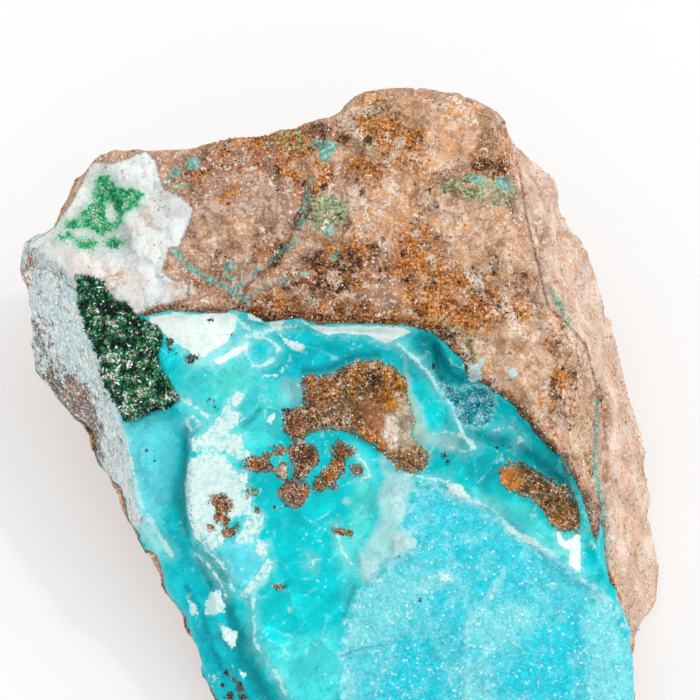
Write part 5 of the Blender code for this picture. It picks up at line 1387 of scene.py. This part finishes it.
def stone_material():
    """Every mineral of the stone, from the deepest layer up, each inside its own ragged outline."""
    n = Nodes("stone")
    share_patterns(n)

    def inside(name, swing, tear, edge=0.05, shift=0.0):
        depth = n.math("MULTIPLY_ADD", n.ragged, swing, n.value(name))
        depth = n.math("MULTIPLY_ADD", n.torn, tear, depth)
        return n.ramp(depth, shift - edge, shift + edge)

    chrysocolla = chrysocolla_colour(n)
    halo = n.math("MAXIMUM", n.value("white"), n.value("torn"))
    halo = n.math("MULTIPLY_ADD", n.ragged, 2.6, n.math("MULTIPLY_ADD", n.torn, 1.2, halo))
    chrysocolla = n.mix(n.ramp(halo, -0.7, 0.2, 0.0, 0.45), chrysocolla, (178, 234, 232))
    # Dark lines: cracks, and painted shadow at the foot of the step and under the brown inclusion's upper edge.
    chrysocolla = n.mix(n.product(inside("crack_and_shadow_line", 0.5, 0.5, 0.30, -0.05), 0.75), chrysocolla, (0, 120, 132))
    chrysocolla = n.mix(n.product(inside("pale_line", 1.6, 1.0, 0.7, -0.3), 0.4), chrysocolla, (160, 230, 230))
    chrysocolla = n.mix(n.product(inside("pale_line", 1.0, 0.6, 0.08, 0.02), 0.75), chrysocolla, (214, 240, 238))

    druse = druse_colour(n)
    druse_rim = n.product(n.ramp(n.value("druse"), 1.1, 0.2), n.ramp(n.ragged, -0.06, 0.06), 0.55)
    druse = n.mix(druse_rim, druse, (196, 238, 238))
    druse = n.mix(n.product(inside("pale_line", 1.5, 1.0, 0.40, -0.05), 0.5), druse, (206, 242, 240))
    druse = n.mix(n.product(inside("crack_and_shadow_line", 0.3, 0.3, 0.12), 0.7), druse, (0, 150, 170))

    blue = n.steps(n.grit, (0.34, (0, 128, 156)), (0.46, (0, 172, 192)), (0.55, (90, 210, 218)), (0.66, (232, 250, 250)))
    blue_rim = n.product(inside("blue", 0.8, 0.6, 0.25, -0.35), n.ramp(n.grit, 0.42, 0.56), 0.7)

    white = n.mix(n.ramp(n.math("MULTIPLY_ADD", n.hue, 0.5, n.cloud), 0.71, 0.93), (238, 246, 242), (200, 230, 227))
    torn_white = n.mix(n.ramp(n.hue, 0.44, 0.56), (222, 237, 233), (190, 226, 224))
    holes = n.math("MULTIPLY_ADD", n.value("torn"), -0.11, n.hue)
    holes = n.ramp(holes, 0.49, 0.54, 1.0, 0.0)
    in_torn = n.product(inside("torn", 0.4, 0.4, 0.05, -0.12), holes)
    in_white = inside("white", 0.45, 0.3, 0.06)
    chip_white = n.mix(n.ramp(n.hue, 0.43, 0.55), (228, 240, 237), (182, 226, 226))

    # The right flank, painted paler for the light that falls on it from the right.
    rock = n.mix(n.product(inside("right_flank", 2.4, 0.8, 1.4), 0.85), rock_colour(n), pale_and_lit_flank_colour(n))
    cream = n.mix(n.ramp(n.hue, 0.44, 0.56), (252, 238, 222), (226, 190, 158))
    rock = n.mix(n.product(inside("rock_chip", 1.4, 0.9, 0.08), n.ramp(n.grit, 0.38, 0.46), 0.9), rock, cream)
    rock = n.mix(n.product(inside("crack", 0.3, 0.4, 0.10), 0.75), rock, (78, 54, 42))
    # Painted shade in the small pits.
    rock = n.mix(n.product(inside("pit_shade", 1.6, 1.6, 0.12), 0.9), rock, n.steps(n.grit, (0.4, (34, 24, 22)), (0.6, (104, 70, 54))))
    # A dark line along the rock's edge where it meets the chrysocolla: partly the dark contact, partly painted shade
    # along the ledge.
    contact_line_and_shade = n.math("MULTIPLY_ADD", n.ragged, 1.2, n.value("rock"))
    contact_line_and_shade = n.product(n.ramp(contact_line_and_shade, 1.0, 0.35), n.ramp(n.torn, -0.16, 0.04), 0.92)
    rock = n.mix(contact_line_and_shade, rock, n.steps(n.grit, (0.4, (36, 26, 20)), (0.6, (122, 84, 56))))
    vein = n.steps(n.hue, (0.36, (84, 132, 110)), (0.48, (84, 190, 180)), (0.60, (186, 230, 216)))
    in_vein = n.product(inside("vein", 1.5, 1.5, 0.12), 0.88)

    malachite = n.steps(n.hue, (0.36, (0, 134, 78)), (0.44, (12, 190, 112)), (0.52, (84, 220, 154)),
                        (0.60, (206, 244, 224)))
    smear = n.product(inside("malachite", 3.0, 2.0, 0.5, -0.45), 0.55)
    needle_bed = n.steps(n.grit, (0.36, (14, 30, 24)), (0.48, (20, 78, 54)), (0.58, (30, 140, 92)),
                         (0.70, (190, 226, 204)))

    colour = chrysocolla
    for share, layer in (
        (inside("druse", 1.6, 0.9, 0.35), druse), (blue_rim, (198, 236, 238)), (inside("blue", 0.6, 0.8, 0.12), blue),
        (in_white, white), (in_torn, torn_white), (inside("chip", 0.8, 0.9, 0.05), chip_white),
        (inside("rock", 0.35, 0.45), rock), (inside("chip", 0.5, 0.6, 0.05, 0.06), chip_white), (in_vein, vein),
        (inside("weathered", 0.35, 0.35), weathered_colour(n)), (inside("crust", 0.9, 0.6, 0.25), crust_colour(n)),
        (inside("inclusion", 1.7, 2.2, 0.04, 0.10), inclusion_colour(n)), (smear, (142, 220, 186)),
        (inside("malachite", 1.6, 1.6, 0.12), malachite), (inside("needles", 0.6, 0.6, 0.1), needle_bed),
        (inside("spot", 0.7, 1.5, 0.04), n.steps(n.grit, (0.42, (24, 24, 22)), (0.6, (108, 104, 92)))),
    ):
        colour = n.mix(share, colour, layer)
    n.put(n.shader.inputs["Base Color"], colour)

    earthy = n.math("MAXIMUM", inside("rock", 0.35, 0.35), inside("inclusion", 0.7, 0.7))
    earthy = n.math("MAXIMUM", earthy, inside("weathered", 0.35, 0.35))
    n.put(n.shader.inputs["Roughness"], n.mix(earthy, grey(n, n.ramp(n.ragged, -0.2, 0.2, 0.28, 0.5)),
                                              grey(n, n.ramp(n.kind, 0.0, 1.0, 0.5, 0.9))))
    n.shader.inputs["Specular IOR Level"].default_value = 0.09

    crumbs = n.product(earthy, n.ramp(n.value("clear"), 0.0, 1.0, 1.0, 0.45),
                       n.math("MULTIPLY_ADD", n.grit, 0.5, n.product(n.kind, 0.08)))
    sugar = n.product(n.ramp(n.value("druse"), -0.3, 0.6), n.math("MULTIPLY_ADD", n.grit, 0.07, n.product(n.kind, 0.03)))
    n.bump(n.math("ADD", n.math("ADD", crumbs, sugar), n.product(n.ragged, 0.10)))
    return n.material


# ---------------------------------------------------------------- grains, needles and small crystals

OCTAHEDRON = np.array(((1, 0, 0), (-1, 0, 0), (0, 1, 0), (0, -1, 0), (0, 0, 1), (0, 0, -1)), float)
OCTAHEDRON_FACES = np.array(((0, 2, 4), (2, 1, 4), (1, 3, 4), (3, 0, 4), (2, 0, 5), (1, 2, 5), (3, 1, 5), (0, 3, 5)))


def surface_of(stone):
    """The stone's triangles: their corners, areas and normals in millimetres, and the values kept there."""
    mesh = stone.data
    mesh.calc_loop_triangles()
    corners = np.empty(len(mesh.loop_triangles) * 3, np.int32)
    mesh.loop_triangles.foreach_get("vertices", corners)
    corners = corners.reshape(-1, 3)
    points = points_of(mesh)
    a, b, c = (points[corners[:, i]] for i in range(3))
    across = np.cross(b - a, c - a)
    area = np.linalg.norm(across, axis=1) / 2
    values = {}
    for attribute in mesh.attributes:
        if attribute.domain == "POINT" and attribute.data_type == "FLOAT":
            kept = np.empty(len(points), np.float32)
            attribute.data.foreach_get("value", kept)
            values[attribute.name] = kept[corners].mean(axis=1)
        if attribute.domain == "POINT" and attribute.data_type == "FLOAT_COLOR":
            kept = np.empty(len(points) * 4, np.float32)
            attribute.data.foreach_get("color", kept)
            values[attribute.name] = kept.reshape(-1, 4)[corners, :3].mean(axis=1)
    return (a, b, c), area, across / (2 * area[:, None] + 1e-12), values


def turned(random, count):
    """Random rotations, one 3 by 3 matrix each."""
    q = random.normal(size=(count, 4))
    w, x, y, z = (q / np.linalg.norm(q, axis=1)[:, None]).T
    rows = (
        (1 - 2 * (y * y + z * z), 2 * (x * y - z * w), 2 * (x * z + y * w)),
        (2 * (x * y + z * w), 1 - 2 * (x * x + z * z), 2 * (y * z - x * w)),
        (2 * (x * z - y * w), 2 * (y * z + x * w), 1 - 2 * (x * x + y * y)),
    )
    return np.moveaxis(np.array(rows), 2, 0)


def leaning(random, normals, lean):
    """Rotations whose third axis is the normal, tipped over by up to about this much."""
    out = normals + lean * random.normal(size=normals.shape)
    out /= np.linalg.norm(out, axis=1)[:, None]
    side = np.cross(out, random.normal(size=normals.shape))
    side /= np.linalg.norm(side, axis=1)[:, None]
    return np.stack((side, np.cross(out, side), out), axis=2)


def scatter(name, surface, weight, count, half_widths, colours, shares, lean=None, sink=0.3, tone=None, mingle=0.3, seed=1):
    """Small angular crystals on the stone where the weight says, joined in one mesh.

    The half widths are the least and the most of each axis in millimetres, and the third axis stands out of
    the stone if the crystals lean. Each crystal takes one of the colours, by the shares, and neighbours are
    more alike the less they mingle. A tone names the stone's colour under it, which is mixed in.
    """
    random = np.random.default_rng(seed)
    (a, b, c), area, normals, values = surface
    chance = area * np.clip(weight(values), 0.0, None)
    chosen = random.choice(len(area), count, p=chance / chance.sum())
    u, v = random.random((2, count, 1))
    over = u + v > 1
    u, v = np.where(over, 1 - u, u), np.where(over, 1 - v, v)
    places = a[chosen] + u * (b - a)[chosen] + v * (c - a)[chosen]
    low, high = np.array(half_widths).T
    size = low + (high - low) * random.random((count, 3)) ** 1.6
    turn = turned(random, count) if lean is None else leaning(random, normals[chosen], lean)
    uneven = 0.65 + 0.7 * random.random((count, 6, 1))
    shapes = OCTAHEDRON[None] * uneven * size[:, None, :]
    shapes = np.einsum("nij,nkj->nki", turn, shapes)
    depth = size.min(axis=1) if lean is None else size[:, 2]
    rise = (1 - sink) * depth if lean is not None else (0.5 - sink) * depth
    points = shapes + (places + normals[chosen] * rise[:, None])[:, None, :]
    points[:, :, 2] = np.maximum(points[:, :, 2], 0.0)
    faces = (OCTAHEDRON_FACES[None] + 6 * np.arange(count)[:, None, None]).reshape(-1, 3)
    mesh = bpy.data.meshes.new(name)
    mesh.vertices.add(count * 6)
    mesh.loops.add(len(faces) * 3)
    mesh.polygons.add(len(faces))
    mesh.vertices.foreach_set("co", (points * MM).astype(np.float32).ravel())
    mesh.loops.foreach_set("vertex_index", faces.astype(np.int32).ravel())
    mesh.polygons.foreach_set("loop_start", np.arange(0, len(faces) * 3, 3, dtype=np.int32))
    mesh.update(calc_edges=True)
    mesh.validate()
    palette = np.array([linear(colour) for colour in colours])
    score = rises(places, 1.1) + mingle * random.normal(size=count)
    rank = (np.argsort(np.argsort(score)) + 0.5) / count
    picked = palette[np.searchsorted(np.cumsum(shares) / sum(shares), rank)]
    if tone:
        picked = 0.7 * picked + 0.3 * values[tone][chosen]
    picked = np.clip(picked * (0.8 + 0.4 * random.random((count, 1))), 0.0, 1.0)
    tones = np.repeat(np.hstack([picked, np.ones((count, 1))]), 6, axis=0).astype(np.float32)
    mesh.attributes.new("tone", "FLOAT_COLOR", "POINT").data.foreach_set("color", tones.ravel())
    made = bpy.data.objects.new(name, mesh)
    bpy.context.scene.collection.objects.link(made)
    return made


def grain_material(name, roughness, specular, mottle):
    n = Nodes(name)
    n.put(n.shader.inputs["Base Color"], brightened(n, n.colour("tone"), n.noise(0.12, 2.0, 0.6), mottle))
    n.put(n.shader.inputs["Roughness"], n.ramp(n.noise(0.3), 0.3, 0.7, roughness * 0.7, roughness * 1.3))
    n.shader.inputs["Specular IOR Level"].default_value = specular
    n.bump(n.math("MULTIPLY", n.noise(0.08, 2.0), 0.02))
    return n.material


def well_inside(depth, edge=0.3):
    return smooth_step((depth + edge / 2) / edge)


def make_grains(stone):
    """All the small pieces that stand on the stone."""
    surface = surface_of(stone)

    def rock_weight(v):
        grains = 0.06 + (1 - v["clear"]) ** 2 + 0.5 * v["rust"] + 0.4 * v["gloom"]
        return well_inside(v["rock"]) * (1 - well_inside(v["weathered"])) * (1 - well_inside(v["crust"])) * grains

    made = {}
    made["quartz_grains"] = scatter(
        "quartz_grains", surface, rock_weight, 11000, ((0.06, 0.22), (0.05, 0.17), (0.04, 0.13)),
        ((120, 82, 66), (176, 126, 96), (214, 172, 144), (240, 214, 194), (252, 240, 230)), (1, 2, 3, 3, 2),
        tone="rock_tone", seed=11)
    made["limonite_crumbs"] = scatter(
        "limonite_crumbs", surface, lambda v: rock_weight(v) * (0.06 + v["rust"]) * (1 - well_inside(v["right_flank"])),
        10000, ((0.05, 0.17), (0.05, 0.13), (0.04, 0.12)),
        ((74, 44, 32), (150, 78, 30), (206, 118, 34), (236, 152, 56), (250, 204, 140)), (2, 2.5, 4, 3, 1.5), seed=12)
    made["inclusion_crumbs"] = scatter(
        "inclusion_crumbs", surface, lambda v: well_inside(v["inclusion"] + 0.1) * (1.05 - v["clear"]), 4500,
        ((0.06, 0.20), (0.05, 0.16), (0.04, 0.13)),
        ((30, 22, 20), (92, 66, 50), (148, 106, 68), (214, 138, 52), (238, 188, 118), (226, 202, 178), (255, 248, 242)),
        (4.2, 3, 2.6, 3.4, 1.6, 1.5, 2.6), tone="inclusion_tone", mingle=0.5, seed=13)
    made["malachite_needles"] = scatter(
        "malachite_needles", surface, lambda v: well_inside(v["needles"]), 8000,
        ((0.04, 0.13), (0.04, 0.18), (0.08, 0.30)),
        ((10, 18, 16), (18, 58, 42), (24, 120, 78), (64, 182, 122), (176, 116, 70), (236, 244, 238)),
        (4, 4, 4.5, 4.6, 1.2, 3.2), lean=1.5, sink=0.3, seed=14)
    made["needle_shards"] = scatter(
        "needle_shards", surface, lambda v: well_inside(v["needles"] - 0.3), 170,
        ((0.10, 0.22), (0.10, 0.20), (0.16, 0.42)),
        ((14, 24, 20), (30, 130, 84), (214, 150, 96), (232, 214, 196), (246, 250, 246)), (2, 2, 1, 1, 4), lean=1.4,
        mingle=1.0, seed=18)
    made["malachite_tufts"] = scatter(
        "malachite_tufts", surface, lambda v: well_inside(v["malachite"]), 1600,
        ((0.04, 0.09), (0.04, 0.09), (0.08, 0.20)),
        ((0, 146, 84), (24, 192, 114), (100, 224, 164), (226, 246, 232)), (2, 4, 4, 3), lean=0.9, seed=15)
    made["druse_crystals"] = scatter(
        "druse_crystals", surface, lambda v: well_inside(v["druse"], 0.6) * (v["floor"] > 0.2), 12000,
        ((0.03, 0.08), (0.03, 0.08), (0.03, 0.10)),
        ((0, 196, 218), (60, 212, 228), (140, 230, 238), (206, 244, 244), (250, 254, 252)), (1.4, 3.4, 3, 2, 1.2), lean=0.6,
        sink=0.55, tone="druse_tone", seed=16)
    made["blue_crystals"] = scatter(
        "blue_crystals", surface, lambda v: well_inside(v["blue"]), 1400,
        ((0.03, 0.09), (0.03, 0.09), (0.05, 0.14)),
        ((0, 116, 148), (14, 164, 188), (100, 214, 222), (236, 250, 250)), (3, 4, 3.4, 3.2), lean=0.5, sink=0.45,
        seed=17)
    finish = {
        "quartz_grains": grain_material("quartz", 0.45, 0.4, 0.25),
        "limonite_crumbs": grain_material("limonite", 0.8, 0.2, 0.35),
        "inclusion_crumbs": grain_material("inclusion crumbs", 0.6, 0.35, 0.35),
        "malachite_needles": grain_material("malachite", 0.35, 0.4, 0.2),
        "druse_crystals": grain_material("druse", 0.15, 0.5, 0.1),
    }
    finish["malachite_tufts"] = finish["needle_shards"] = finish["malachite_needles"]
    finish["blue_crystals"] = finish["druse_crystals"]
    for name, piece in made.items():
        piece.data.materials.append(finish[name])
        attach(piece, BODY)
        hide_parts(NODE)


# ---------------------------------------------------------------- floor, light and camera

FLOOR_SIZE = 3.0
FLOOR_COLOUR = (198, 198, 198)
FLOOR_GLOW = 0.35  # a lit table, as in the photo
SKY_LIGHT = 0.95
KEY_FROM = (0.62, 0.14, 0.80)  # right, behind and above
KEYS = (("soft_key", 0.45, 60.0), ("crisp_key", 0.45, 4.0))  # each with its strength and its width in degrees
LENS_LENGTH = 216.0
SENSOR = 36.0


def make_floor():
    bpy.ops.mesh.primitive_plane_add(size=FLOOR_SIZE)
    floor = bpy.context.object
    floor.name = "floor"
    n = Nodes("floor")
    n.put(n.shader.inputs["Base Color"], n.mix(n.noise(60.0), FLOOR_COLOUR, FLOOR_COLOUR))
    n.shader.inputs["Roughness"].default_value = 0.9
    n.shader.inputs["Specular IOR Level"].default_value = 0.0
    n.shader.inputs["Emission Color"].default_value = (1.0, 1.0, 1.0, 1.0)
    n.shader.inputs["Emission Strength"].default_value = FLOOR_GLOW
    floor.data.materials.append(n.material)


def make_light():
    world = bpy.data.worlds.new("studio")
    world.use_nodes = True
    world.node_tree.nodes["Background"].inputs["Strength"].default_value = SKY_LIGHT
    world.node_tree.nodes["Background"].inputs["Color"].default_value = (1.0, 1.0, 1.0, 1.0)
    bpy.context.scene.world = world
    for name, strength, width in KEYS:
        key = bpy.data.lights.new(name, "SUN")
        key.energy = strength
        key.angle = math.radians(width)
        lamp = bpy.data.objects.new(name, key)
        lamp.rotation_euler = Vector(KEY_FROM).to_track_quat("Z", "Y").to_euler()
        bpy.context.scene.collection.objects.link(lamp)


def make_camera():
    data = bpy.data.cameras.new("camera")
    data.lens = LENS_LENGTH
    data.sensor_width = SENSOR
    camera = bpy.data.objects.new("camera", data)
    camera.matrix_world = to_solid() @ Matrix.Translation((0, 0, EYE_DISTANCE * MM))
    bpy.context.scene.collection.objects.link(camera)
    bpy.context.scene.camera = camera


noise.seed_set(NOISE_SEED)  # Blender seeds it with the time
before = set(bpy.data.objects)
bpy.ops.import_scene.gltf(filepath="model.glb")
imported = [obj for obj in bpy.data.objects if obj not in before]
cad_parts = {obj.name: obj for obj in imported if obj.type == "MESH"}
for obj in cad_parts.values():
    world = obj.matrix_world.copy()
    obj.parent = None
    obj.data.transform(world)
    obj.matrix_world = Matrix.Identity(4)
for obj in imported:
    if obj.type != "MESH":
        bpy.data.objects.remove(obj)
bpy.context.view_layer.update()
specimen = make_stone()
specimen.name = "specimen_stone"
specimen.data.materials.append(stone_material())
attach(specimen, BODY)
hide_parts(NODE)
make_grains(specimen)
make_floor()
make_light()
make_camera()
bpy.context.scene.view_settings.view_transform = "Standard"
